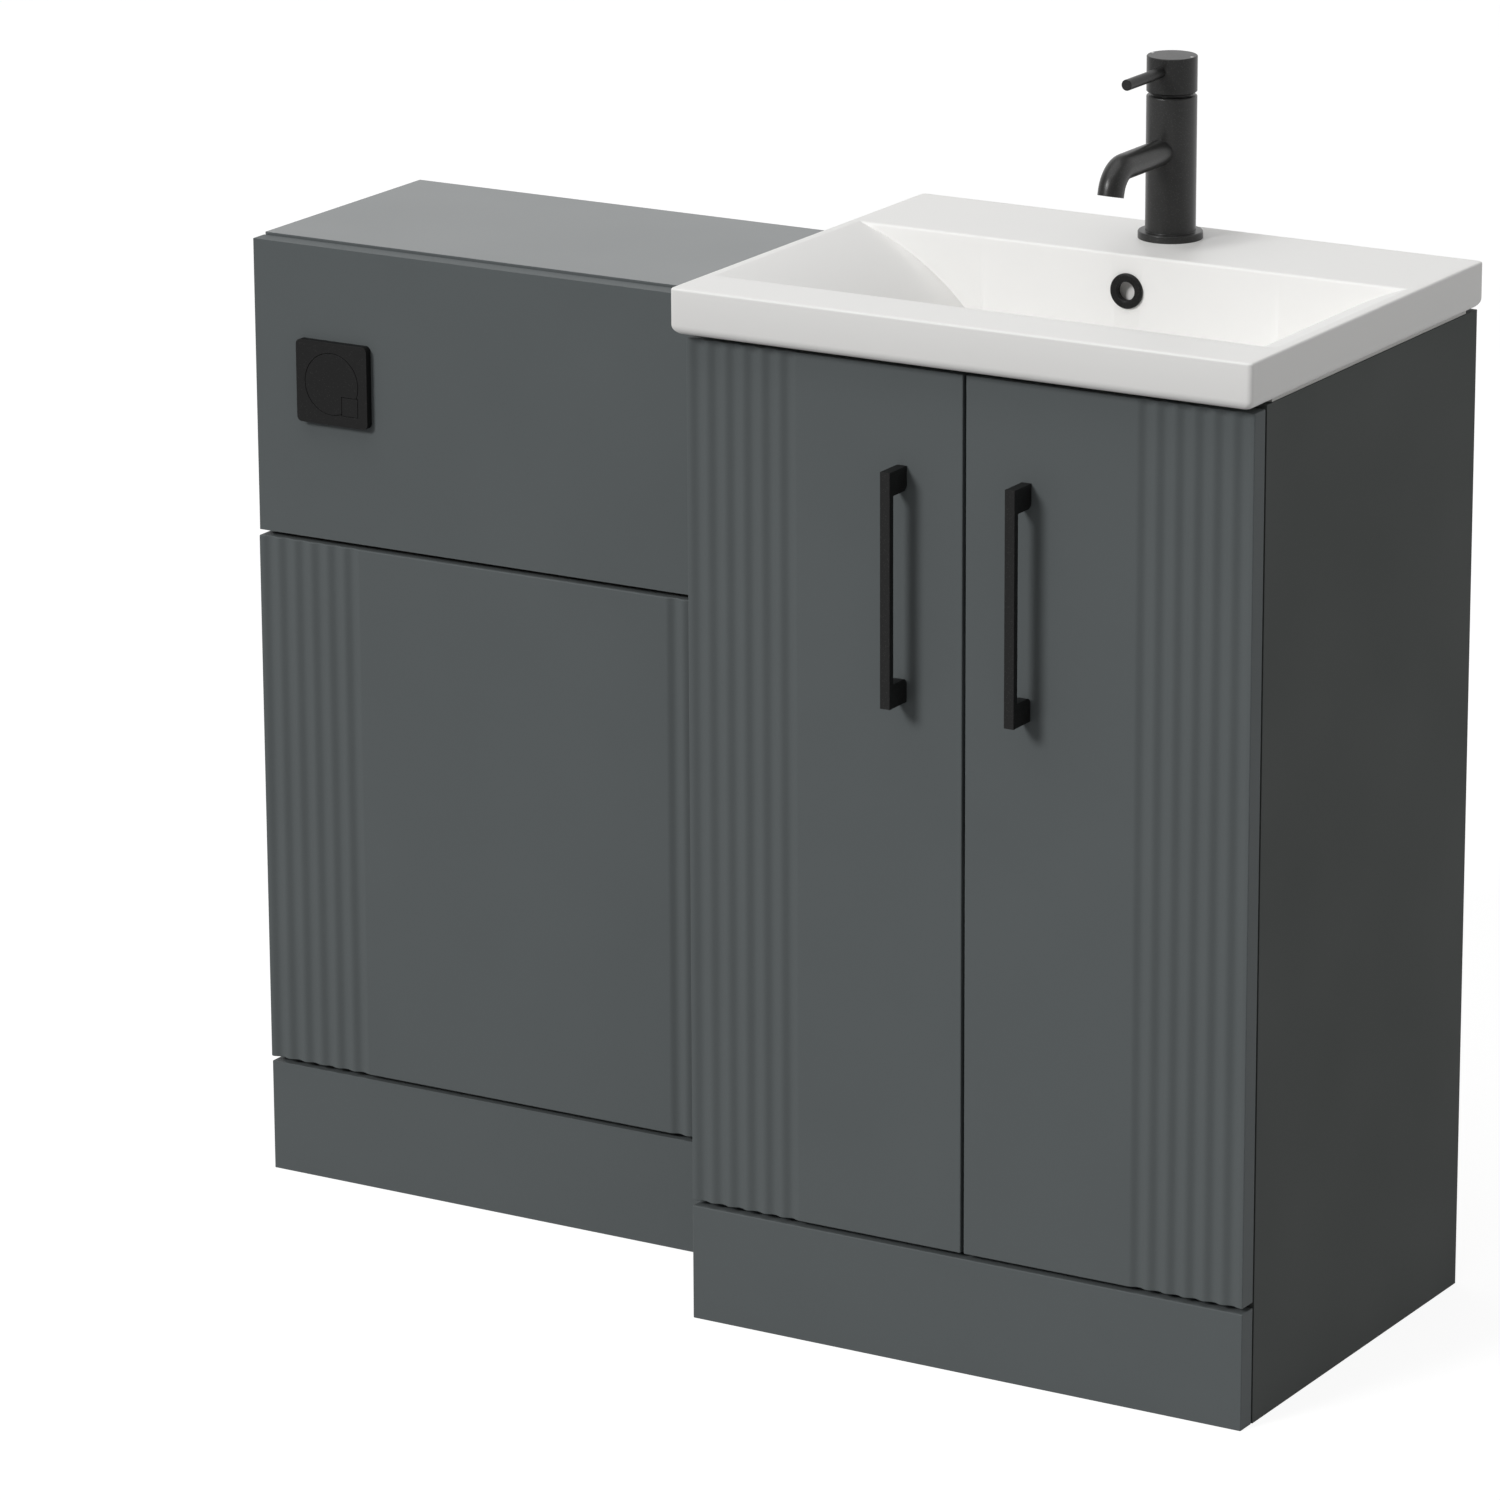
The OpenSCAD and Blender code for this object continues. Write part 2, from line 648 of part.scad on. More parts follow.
function unit(v) = v / norm(v);

module tube(pts, r) {
  n = len(pts);
  rings = [for (i = [0 : n - 1])
    let (t = unit(pts[min(i + 1, n - 1)] - pts[max(i - 1, 0)]),
         side = unit(cross(t, [0, 0, 1])),
         up = cross(side, t))
    [for (k = [0 : tube_sides - 1])
      pts[i] + r * (side * cos(360 * k / tube_sides) + up * sin(360 * k / tube_sides))]];
  points = [for (ring = rings, q = ring) q];
  walls = [for (i = [0 : n - 2], k = [0 : tube_sides - 1])
    let (j = (k + 1) % tube_sides)
    [i * tube_sides + k, i * tube_sides + j, (i + 1) * tube_sides + j, (i + 1) * tube_sides + k]];
  first = [for (k = [tube_sides - 1 : -1 : 0]) k];
  last = [for (k = [0 : tube_sides - 1]) (n - 1) * tube_sides + k];
  polyhedron(points, concat(walls, [first, last]));
}

// Route of a tube from s through the hole h to its end e, running at y_run in front of the tank
function tube_route(s, h, e, y_run) =
  let (a = [s[0] + 24, y_run, s[2] - 18], b = [h[0] - 26, y_run, h[2] + 10])
  smooth([
    s, s + [0, 10, 0], [s[0] + 8, y_run - 6, s[2] - 6],
    a, a + (b - a) / 3, a + (b - a) * 2 / 3, b,
    [h[0] - 10, (y_run + h[1]) / 2 - 4, h[2] + 3], h + [-0.5, -7, 0.5], h + [0.5, 7, -1],
    h + [8.5, 19, -4.5], e + [-16, -2, 1], e
  ]);

module air_tubes() color([0.2, 0.45, 0.8]) {
  y_start = y_fascia + housing_l + nozzle_l;
  pumps = [pump_full, pump_half];
  fronts = [y_tank0 - 20, y_tank0 - 30];   // the planes that the tubes run in
  for (i = [0, 1]) tube(tube_route(
    [x_plate + pumps[i][0], y_start, plate_z + pumps[i][1]],
    [x_tank - tube_hole_x, y_tank0 + tank_t / 2, tube_hole_z[i]],
    [x_tank - relay_w / 2 - nozzle_l, y_relay, nozzle_z[i]],
    fronts[i]
  ), tube_r);
}

// ---------- basin unit ----------

module van_side(x0, inner) difference() {
  board(x0, x0 + board_t, y_van_front, y_wall, 0, side_h);
  for (y = shelf_pin_y)
    rod_x(inner > 0 ? x0 + board_t - shelf_pin_deep : x0 - cut, y, z_shelf - shelf_pin_r,
          shelf_pin_r + fit, shelf_pin_deep + cut);
}

module van_left_side() color([0.33, 0.35, 0.35]) van_side(x_join, 1);

module van_right_side() color([0.33, 0.35, 0.35]) van_side(x_end - board_t, -1);

module van_base() color([0.33, 0.35, 0.35])
  board(x_join + board_t, x_end - board_t, y_van_front, y_wall, z_base, z_base + board_t);

z_base = plinth_h - base_lap;

module van_shelf() color([0.33, 0.35, 0.35])
  board(x_join + board_t + shelf_side_gap, x_end - board_t - shelf_side_gap,
        y_van_front + shelf_front_in, y_wall - shelf_back_in, z_shelf, z_shelf + board_t);

module shelf_pins() color([0.75, 0.75, 0.76])
  for (y = shelf_pin_y) {
    rod_x(x_join + board_t - shelf_pin_deep, y, z_shelf - shelf_pin_r, shelf_pin_r, 2 * shelf_pin_deep);
    rod_x(x_end - board_t - shelf_pin_deep, y, z_shelf - shelf_pin_r, shelf_pin_r, 2 * shelf_pin_deep);
  }

module van_rails() color([0.80, 0.72, 0.58]) difference() {
  union() {
    board(x_join + board_t, x_end - board_t, y_van_front, y_van_front + top_rail_d,
          side_h - board_t, side_h);
    board(x_join + board_t, x_end - board_t, y_wall - rail_t, y_wall, side_h - rear_rail_h, side_h);
    board(x_join + board_t, x_end - board_t, y_wall - rail_t, y_wall,
          z_base + board_t, z_base + board_t + low_rail_h);
  }
  for (x = [x_join + van_wall_hole_in, x_end - van_wall_hole_in])
    rod_y(x, y_wall - rail_t - cut, side_h - rear_rail_h / 2, wall_hole_r, rail_t + 2 * cut);
}

module van_plinth() color([0.33, 0.35, 0.35])
  board(x_join, x_end, y_door, y_door + board_t, 0, plinth_h);

module plinth_blocks() color([0.80, 0.72, 0.58]) {
  for (x = [x_join + board_t, x_end - board_t - block])
    board(x, x + block, y_door + board_t, y_van_front + block,
          plinth_h - block_drop - block, plinth_h - block_drop);
}

// ---------- doors ----------

z_hinge = [z_door + hinge_inset, z_door + door_h - hinge_inset];
z_handle_screw = [handle_z + leg_h / 2, handle_z + handle_h - leg_h / 2];
handle_edge = van_w / 2 - handle_in;   // handle's middle, from the door's outer edge

// The left door in its own frame: x from its outer edge, y from its face
module door_board() difference() {
  fluted_board(door_w, door_h, true, false);
  for (z = z_hinge)
    rod_y(cup_in, board_t - cup_h - cup_spare, z - z_door, cup_r + fit, cup_h + cup_spare + cut);
  for (z = z_handle_screw)
    rod_y(handle_edge, -cut, z - z_door, screw_r + fit, board_t + 2 * cut);
}

// Puts a piece of the left door in place, or mirrored as one of the right door
module at_left() translate([x_join, y_door, 0]) children();

module at_right() translate([x_end, y_door, 0]) mirror([1, 0, 0]) children();

module left_door() color([0.33, 0.35, 0.35]) at_left() translate([0, 0, z_door]) door_board();

module right_door() color([0.33, 0.35, 0.35]) at_right() translate([0, 0, z_door]) door_board();

// Side outline of a handle: a flat bar on two legs whose inner ends are rounded at the door
quarter_n = 6;

function quarter(cx, cz, r, a0, a1) = [
  for (i = [0 : quarter_n]) let (a = a0 + (a1 - a0) * i / quarter_n) [cx + r * cos(a), cz + r * sin(a)]
];

module handle_shape() {
  out = handle_out;
  inside = out - handle_t;
  outline = concat(
    [[0, 0], [out, 0], [out, handle_h], [0, handle_h]],
    quarter(leg_round, handle_h - leg_h + leg_round, leg_round, 180, 270),
    [[inside, handle_h - leg_h], [inside, leg_h]],
    quarter(leg_round, leg_h - leg_round, leg_round, 90, 180)
  );
  difference() {
    translate([handle_edge - handle_w / 2, 0, handle_z]) rotate([90, 0, 90])
      linear_extrude(handle_w) scale([-1, 1]) polygon(outline);
    for (z = z_handle_screw) rod_y(handle_edge, -screw_bite, z, screw_r + fit, screw_bite + cut);
  }
}

screw_bite = 14;
screw_head = 2.2;

module left_handle() color([0.12, 0.12, 0.12]) at_left() handle_shape();

module right_handle() color([0.12, 0.12, 0.12]) at_right() handle_shape();

module handle_screws() for (z = z_handle_screw) {
  rod_y(handle_edge, -screw_bite + cut, z, screw_r, board_t + screw_bite - cut);
  rod_y(handle_edge, board_t, z, 2 * screw_r, screw_head);
}

module left_handle_screws() color([0.7, 0.7, 0.7]) at_left() handle_screws();

module right_handle_screws() color([0.7, 0.7, 0.7]) at_right() handle_screws();

link_in = 26;       // middle of the hinge link, from the door's outer edge
link_w = 8;
link_h = 12;
link_lap = 0.5;
link_out = 5.5;     // how far the link stands behind the door

// A cup let into the door's back, its flange and the link that reaches the arm on the side
module hinge_cup() for (z = z_hinge) {
  difference() {
    union() {
      rod_y(cup_in, board_t - cup_h, z, cup_r, cup_h);
      translate([cup_in - cup_flange_in, board_t, z - cup_flange[2] / 2]) cube(cup_flange);
    }
    rod_y(cup_in, board_t - cup_h + cup_wall, z, cup_r - cup_wall, cup_h + cut);
  }
  translate([link_in - link_w / 2, board_t - cup_h + cup_wall - link_lap, z - link_h / 2])
    cube([link_w, cup_h - cup_wall + link_lap + link_out, link_h]);
}

module left_hinge_cups() color([0.75, 0.75, 0.76]) at_left() hinge_cup();

module right_hinge_cups() color([0.75, 0.75, 0.76]) at_right() hinge_cup();

hinge_base = [2, 36, 48];
hinge_base_y = 20;  // the base starts this far behind the door
hinge_arm = [10, 62, 16];

// The arm and its mounting plate on the inner face of the side panel
module hinge_plate() for (z = z_hinge) {
  translate([board_t, board_t + hinge_base_y, z - hinge_base[2] / 2]) cube(hinge_base);
  translate([board_t + hinge_base[0], board_t + link_out + run_gap, z - hinge_arm[2] / 2]) cube(hinge_arm);
}

module left_hinge_plates() color([0.75, 0.75, 0.76]) at_left() hinge_plate();

module right_hinge_plates() color([0.75, 0.75, 0.76]) at_right() hinge_plate();

module door_bumpers() color([0.9, 0.9, 0.9])
  for (x = [x_mid - bumper_in, x_mid + bumper_in],
       z = [z_base + board_t - bumper_edge - bumper_r, side_h - board_t / 2])
    rod_y(x, y_door + board_t + run_gap, z, bumper_r, carcass_gap - run_gap);

// ---------- basin ----------

// A wall of the bowl as a list of [distance in from the rim, depth, slope], from rim to floor:
// a bulging arc, a straight stretch and the fillet to the floor
function wall_path(start, r, a0, a1, rf) =
  let (s1 = start + r * (sin(a1) - sin(a0)),
       d1 = r * (cos(a0) - cos(a1)),
       d2 = bowl_depth - rf * (cos(floor_a) - cos(a1)),
       s2 = s1 + (a1 > 89 ? 0 : (d2 - d1) / tan(a1)))
  concat(
    [for (i = [0 : arc_n]) let (a = a0 + (a1 - a0) * i / arc_n)
      [start + r * (sin(a) - sin(a0)), r * (cos(a0) - cos(a)), a]],
    [for (i = [0 : arc_n]) let (a = a1 + (floor_a - a1) * i / arc_n)
      [s2 + rf * (sin(a1) - sin(a)), d2 + rf * (cos(a) - cos(a1)), a]]
  );

// The same wall moved out by w, as points [distance, height below the rim]
function moved(path, w) = [for (p = path) [p[0] - w * sin(p[2]), -p[1] - w * cos(p[2])]];

side_path = wall_path(side_rim, side_r, side_a0, side_a1, floor_r);
front_path = wall_path(front_rim, front_r, 0, front_a1, floor_r);
back_path = wall_path(ledge_d, ledge_r, 0, 90, floor_r);

// Depth of the bowl's floor where the falls from two facing walls meet, mid along the width
function floor_at(path_a, path_b, width, mid) =
  let (a = path_a[len(path_a) - 1], b = path_b[len(path_b) - 1])
  bowl_depth + tan(floor_a) * max(mid - a[0], width - b[0] - mid);

floor_mid = min(floor_at(side_path, side_path, basin_w, basin_w / 2),
                floor_at(front_path, back_path, basin_d, y_waste - yb0));
z_seat = z_top - floor_mid - seat_sink;
z_boss = z_seat - boss_h;
z_tail = z_seat - waste_tail;

function reversed(p) = [for (i = [len(p) - 1 : -1 : 0]) p[i]];

// Cross-section of the bowl, closed at height h above (or below) the rim
function section(path_a, path_b, width, mid, w, h) =
  let (a = moved(path_a, w), b = reversed(moved(path_b, w)))
  concat(
    [[a[0][0], h]], a,
    [[mid, -floor_at(path_a, path_b, width, mid) - w]],
    [for (q = b) [width - q[0], q[1]]],
    [[width - b[len(b) - 1][0], h]]
  );

// The bowl's space when w is 0, or its outer form when w is the wall
module bowl_form(w, h) intersection() {
  translate([xb0, yb1, z_top]) rotate([90, 0, 0]) linear_extrude(basin_d)
    polygon(section(side_path, side_path, basin_w, basin_w / 2, w, h));
  translate([xb0, yb0, z_top]) rotate([90, 0, 90]) linear_extrude(basin_w)
    polygon(section(front_path, back_path, basin_d, y_waste - yb0, w, h));
}

// Outline of a block w by h with corners rounded by rl at the bottom and rt at the top
function soft_rect(w, h, rl, rt) = concat(
  quarter(rl, rl, rl, 180, 270), quarter(w - rl, rl, rl, 270, 360),
  quarter(w - rt, h - rt, rt, 0, 90), quarter(rt, h - rt, rt, 90, 180)
);

module rim_block() intersection() {
  translate([xb0, yb1, z_rim0]) rotate([90, 0, 0]) linear_extrude(basin_d)
    polygon(soft_rect(basin_w, rim_h, rim_low_r, rim_top_r));
  translate([xb0, yb0, z_rim0]) rotate([90, 0, 90]) linear_extrude(basin_w)
    polygon(soft_rect(basin_d, rim_h, rim_low_r, rim_top_r));
  translate([xb0, yb0, z_rim0]) linear_extrude(rim_h)
    polygon(soft_rect(basin_w, basin_d, rim_corner_r, rim_corner_r));
}

module basin() color([0.95, 0.95, 0.94]) difference() {
  union() {
    difference() {
      rim_block();
      board(xb0 + skirt_t, xb1 - skirt_t, yb0 + skirt_t, yb1 - skirt_t, z_rim0 - cut, z_top - deck_t);
    }
    difference() {
      bowl_form(bowl_wall, -deck_t / 2);
      board(xb0, xb1, yb0, yb1, z_top - deck_t + lap, z_top + cut);
    }
    rod_z(x_mid, y_waste, z_boss, boss_r, z_top - bowl_depth - z_boss);
    duct(duct_w / 2 + duct_wall, y_duct + duct_wall, z_boss, z_top - bowl_depth, z_top - deck_t + lap);
  }
  bowl_form(0, cut);
  duct(duct_w / 2, y_duct, z_boss + waste_wall, z_boss + waste_wall + duct_t, z_overflow + duct_top);
  rod_z(x_mid, y_waste, z_seat, waste_flange_r + waste_gap, boss_h);
  rod_z(x_mid, y_waste, z_boss - cut, waste_r + waste_gap, boss_h + 2 * cut);
  rod_y(x_mid, y_ledge - ledge_r - cut, z_overflow, overflow_hole_r, overflow_pocket + cut);
  board(x_mid - overflow_slot_w / 2, x_mid + overflow_slot_w / 2,
        y_ledge - ledge_r + overflow_skin, y_duct - duct_t + cut,
        z_slot - overflow_slot_h, z_slot);
  rod_z(x_mid, y_tap, z_top - deck_t - cut, tap_hole_r, deck_t + 2 * cut);
}

y_duct = y_ledge - ledge_r + bowl_wall + duct_t;
duct_top = 14.5;

// The overflow duct runs down behind the bowl to z0 and forward under its floor, up to z1 high
module duct(half, y1, z0, z1, z_up) {
  board(x_mid - half, x_mid + half, y_duct - duct_t - (y1 > y_duct ? cut : 0), y1, z0, z_up);
  board(x_mid - half, x_mid + half, y_waste, y1, z0, z1);
}

module basin_seal() color([0.9, 0.9, 0.9]) {
  for (x = [x_join + seal_side_in, x_end - seal_side_in - seal_w])
    board(x, x + seal_w, y_van_front + seal_front_in, y_wall - rail_t, side_h, side_h + seal_h);
  board(x_join + board_t + seal_front_in, x_end - board_t - seal_front_in,
        y_wall - seal_back_in - seal_w, y_wall - seal_back_in, side_h, side_h + seal_h);
}

ring_t = 3;
ring_bore_r = 7.6;
sleeve_l = 2;       // a short lip in the basin's hole, so the ceramic shows inside the ring

module overflow_ring() color([0.10, 0.10, 0.10]) difference() {
  union() {
    rod_y(x_mid, y_ledge - ledge_r - ring_t, z_overflow, overflow_r, ring_t);
    rod_y(x_mid, y_ledge - ledge_r - ring_t, z_overflow, overflow_hole_r - fit, ring_t + sleeve_l);
  }
  rod_y(x_mid, y_ledge - ledge_r - ring_t - cut, z_overflow, ring_bore_r, ring_t + sleeve_l + 2 * cut);
}

guide_r = 6;
plug_stem_r = 3;
bar = [4, 5, 6];    // the plug's guide: width and height of its bar, height of its eye
bar_drop = 30;
z_guide_bar = z_seat - bar_drop;
slot_half = 9;      // half the width of the waste's overflow slots

module waste_body() color([0.12, 0.12, 0.12]) {
  difference() {
    union() {
      rod_z(x_mid, y_waste, z_seat, waste_flange_r, waste_flange_t);
      rod_z(x_mid, y_waste, z_tail, waste_r, waste_tail + lap);
    }
    rod_z(x_mid, y_waste, z_tail - cut, waste_r - waste_wall, z_seat - z_tail + waste_flange_t + 2 * cut);
    board(x_mid - slot_half, x_mid + slot_half, y_waste - waste_r - cut, y_waste + waste_r + cut,
          z_boss + waste_wall, z_boss + waste_wall + duct_t);
  }
  difference() {
    union() {
      rod_z(x_mid, y_waste, z_guide_bar, guide_r, bar[2]);
      board(x_mid - waste_r + waste_wall / 2, x_mid + waste_r - waste_wall / 2,
            y_waste - bar[0] / 2, y_waste + bar[0] / 2, z_guide_bar, z_guide_bar + bar[1]);
    }
    rod_z(x_mid, y_waste, z_guide_bar - cut, plug_stem_r + fit, bar[2] + 2 * cut);
  }
}

module waste_plug() color([0.12, 0.12, 0.12])
translate([x_mid, y_waste, z_seat + waste_flange_t + run_gap]) {
  rotate_extrude() polygon([
    [0, 0], [plug_r - plug_edge, 0], [plug_r, plug_edge], [plug_r, plug_t / 2],
    [plug_r - 2 * plug_edge, plug_t - plug_edge], [plug_r / 2, plug_t - plug_edge / 4], [0, plug_t]
  ]);
  translate([0, 0, -plug_stem]) cylinder(r = plug_stem_r, h = plug_stem + cut);
}

plug_r = 30;
plug_t = 6;
plug_edge = 1.5;
plug_reach = 44;    // the plug's stem ends this far below the waste's seat
plug_stem = waste_flange_t + run_gap + plug_reach;

module waste_nut() color([0.12, 0.12, 0.12]) {
  difference() {
    rod_z(x_mid, y_waste, z_boss - washer_t, waste_r + washer_w, washer_t);
    rod_z(x_mid, y_waste, z_boss - washer_t - cut, waste_r + fit, washer_t + 2 * cut);
  }
  hex_nut(x_mid, y_waste, z_boss - washer_t - waste_nut_h, waste_r + waste_nut_w, waste_nut_h,
          waste_r + fit);
}

washer_t = 4;
washer_w = 12;
waste_nut_h = 10;
waste_nut_w = 9;

trap_r = 31;
trap_h = 95;
trap_wall = 3;
trap_nut_r = 27;
trap_neck_l = 25;
trap_nut_h = 24;
trap_nut_drop = 10; // the nut reaches this far below the waste's tail
z_trap = z_tail - trap_neck_l - trap_h;
trap_out_drop = 22;
z_trap_out = z_trap + trap_h - trap_out_drop;
trap_pipe_r = 16;
trap_nut_l = 18;
trap_out_w = 6;
trap_out_lap = 6;
trap_seal_w = 3;
trap_seal_t = 3;

// Bottle trap: a nut round the waste's tail, a neck, the bottle and the outlet's nut at the back
module bottle_trap() color([0.93, 0.93, 0.92]) difference() {
  union() {
    rod_z(x_mid, y_waste, z_tail - trap_nut_drop, trap_nut_r, trap_nut_h);
    rod_z(x_mid, y_waste, z_trap + trap_h - lap, waste_r, trap_neck_l - trap_nut_drop + 2 * lap);
    rod_z(x_mid, y_waste, z_trap, trap_r, trap_h);
    rod_y(x_mid, y_waste + trap_r - trap_out_lap, z_trap_out, trap_pipe_r + trap_out_w,
          trap_nut_l + trap_out_lap);
  }
  rod_z(x_mid, y_waste, z_tail, waste_r + fit, trap_nut_h + cut);
  rod_z(x_mid, y_waste, z_trap + trap_wall, waste_r - waste_wall, z_tail - z_trap);
  rod_z(x_mid, y_waste, z_trap + trap_wall, trap_r - trap_wall, trap_h - 2 * trap_wall);
  rod_y(x_mid, y_waste + trap_r - 2 * trap_out_lap, z_trap_out, trap_pipe_r - trap_wall, trap_nut_l);
  rod_y(x_mid, y_waste + trap_r, z_trap_out, trap_pipe_r + fit, trap_nut_l + cut);
}

// Outlet pipe, with the clamped end of its seal standing round it against the nut
module trap_pipe() color([0.93, 0.93, 0.92]) difference() {
  union() {
    rod_y(x_mid, y_waste + trap_r, z_trap_out, trap_pipe_r, y_wall - y_waste - trap_r);
    rod_y(x_mid, y_waste + trap_r + trap_nut_l, z_trap_out, trap_pipe_r + trap_seal_w, trap_seal_t);
  }
  rod_y(x_mid, y_waste + trap_r - cut, z_trap_out, trap_pipe_r - pipe_wall,
        y_wall - y_waste - trap_r + 2 * cut);
}

// ---------- tap ----------

flange_h = 6;
flange_edge = 1;
tap_edge = 1.2;
head_edge = 0.6;
collar_r = 15;
collar_h = 1.8;
stem_r = 6;
stem_deep = 14;
stem_flange_w = 3;
stem_flange_t = 1.5;
spout_bend = 22;
spout_angle = 75;
spout_tail = 4;
spout_lap = 0.4;
spout_step = 0.3;   // the mouth is this much slimmer than the bend
spout_bore_r = spout_r - 2.2;
tap_cavity_r = 17.2;
tap_cavity_h = 11.4;
pivot_y = 12;
pivot_up = 5.8;     // height of the tilt axis above the column's top
pin_r = 2;
pivot_eye_r = 3.2;
arm_w = 8;
tap_stud_y = 9;
tap_stud_r = 4;
tap_stud_up = 12;   // depth of the stud's hole in the body
tap_stud_down = 60;
inlet_r = 4.6;
inlet_deep = 14;
inlet_x = 8;
inlet_y = -6;

module at_tap() translate([x_mid, y_tap, z_top]) children();

module tap_body() color([0.12, 0.12, 0.12]) at_tap() difference() {
  union() {
    rotate_extrude() polygon([
      [0, 0], [tap_flange_r, 0], [tap_flange_r, flange_h - flange_edge],
      [tap_flange_r - flange_edge, flange_h],
      [tap_r, flange_h], [tap_r, tap_column_h - tap_edge], [tap_r - tap_edge, tap_column_h],
      [collar_r, tap_column_h], [collar_r, tap_column_h + collar_h], [0, tap_column_h + collar_h]
    ]);
    translate([0, 0, spout_h]) rotate([90, 0, 0]) cylinder(r = spout_r, h = spout_reach);
    spout_elbow(spout_r);
    spout_end(-spout_lap) cylinder(r = spout_r - spout_step, h = spout_tail + spout_lap);
  }
  translate([0, -stem_r, spout_h]) rotate([90, 0, 0]) cylinder(r = spout_bore_r, h = spout_reach - stem_r);
  spout_elbow(spout_bore_r);
  spout_end(-spout_lap) cylinder(r = spout_bore_r - spout_step, h = spout_tail + spout_lap + cut);
  translate([0, 0, tap_column_h + collar_h - stem_deep]) cylinder(r = stem_r + fit / 2, h = stem_deep + cut);
  translate([0, tap_stud_y, -cut]) cylinder(r = tap_stud_r + fit, h = tap_stud_up + cut);
  for (x = [-inlet_x, inlet_x]) translate([x, inlet_y, -cut]) cylinder(r = inlet_r, h = inlet_deep + cut);
}

// The spout's bend turns down from the end of its straight part
module spout_elbow(r) translate([0, -spout_reach, spout_h - spout_bend]) rotate([180, -90, 0])
  rotate_extrude(angle = spout_angle) translate([spout_bend, 0]) circle(r = r);

// Stands what it holds at the far end of the bend, pointing out of the mouth
module spout_end(out) translate([0, -spout_reach, spout_h - spout_bend]) rotate([spout_angle, 0, 0])
  translate([0, 0, spout_bend]) rotate([90, 0, 0]) translate([0, 0, out]) children();

module tap_aerator() color([0.5, 0.5, 0.5]) at_tap()
  spout_end(0) difference() {
    cylinder(r = spout_bore_r - spout_step - fit, h = spout_tail - aerator_back);
    translate([0, 0, aerator_t]) cylinder(r = spout_bore_r - aerator_rim, h = spout_tail);
  }

aerator_back = 0.5;
aerator_t = 1.5;
aerator_rim = 2;
z_neck = tap_column_h + tap_neck_gap;
z_pivot = tap_column_h + pivot_up;
z_stem0 = tap_column_h + collar_h - stem_deep + run_gap;

// The turning stem: it stands in the column and holds the head's pivot pin in its lap
module tap_stem() color([0.6, 0.6, 0.55]) at_tap() difference() {
  union() {
    translate([0, 0, z_stem0]) cylinder(r = stem_r, h = z_pivot + pivot_eye_r - z_stem0);
    translate([0, 0, tap_column_h + collar_h + run_gap])
      cylinder(r = stem_r + stem_flange_w, h = stem_flange_t);
    translate([-arm_w / 2, 0, z_pivot - pivot_eye_r]) cube([arm_w, pivot_y, 2 * pivot_eye_r]);
    translate([-arm_w / 2, pivot_y, z_pivot]) rotate([0, 90, 0]) cylinder(r = pivot_eye_r, h = arm_w);
  }
  translate([-arm_w, pivot_y, z_pivot]) rotate([0, 90, 0]) cylinder(r = pin_r + fit / 2, h = 2 * arm_w);
}

module tap_head() color([0.12, 0.12, 0.12]) at_tap() difference() {
  rotate_extrude() polygon([
    [0, z_neck], [tap_r - tap_edge, z_neck], [tap_r, z_neck + tap_edge],
    [tap_r, z_neck + tap_head_h - head_edge], [tap_r - head_edge, z_neck + tap_head_h],
    [0, z_neck + tap_head_h]
  ]);
  translate([0, 0, z_neck - cut]) cylinder(r = tap_cavity_r, h = tap_cavity_h + cut);
  translate([-pin_half, pivot_y, z_pivot]) rotate([0, 90, 0]) cylinder(r = pin_r + fit / 2, h = 2 * pin_half);
  translate([0, -lever_in, z_lever]) rotate([90, 0, 0]) cylinder(r = lever_r + fit / 2, h = tap_r);
}

pin_half = 14.4;
lever_in = 9;
lever_drop = 11;
z_lever = z_neck + tap_head_h - lever_drop;

module tap_pivot_pin() color([0.7, 0.7, 0.7]) at_tap()
  translate([-pin_half, pivot_y, z_pivot]) rotate([0, 90, 0]) cylinder(r = pin_r, h = 2 * pin_half);

module tap_lever() color([0.12, 0.12, 0.12]) at_tap()
  translate([0, -lever_in, z_lever]) rotate([90, 0, 0]) cylinder(r = lever_r, h = lever_reach - lever_in);

tap_plate_t = 3;
tap_plate_r = tap_hole_r + 8;
tap_slot = 13;      // half the width of the plate's slot for the water tails
tap_nut_r = 7.5;
tap_nut_h = 8;

// The stud that holds the tap down, its horseshoe plate under the deck and its nut
module tap_fixing() color([0.7, 0.7, 0.7]) at_tap() {
  translate([0, tap_stud_y, -tap_stud_down])
    cylinder(r = tap_stud_r, h = tap_stud_down + tap_stud_up - cut);
  difference() {
    translate([0, 0, -deck_t - tap_plate_t]) cylinder(r = tap_plate_r, h = tap_plate_t);
    translate([0, tap_stud_y, -deck_t - tap_plate_t - cut])
      cylinder(r = tap_stud_r + fit, h = tap_plate_t + 2 * cut);
    translate([-tap_slot, -tap_plate_r - cut, -deck_t - tap_plate_t - cut])
      cube([2 * tap_slot, tap_plate_r + 2 * cut, tap_plate_t + 2 * cut]);
  }
  hex_nut(0, tap_stud_y, -deck_t - tap_plate_t - tap_nut_h, tap_nut_r, tap_nut_h, tap_stud_r + fit);
}

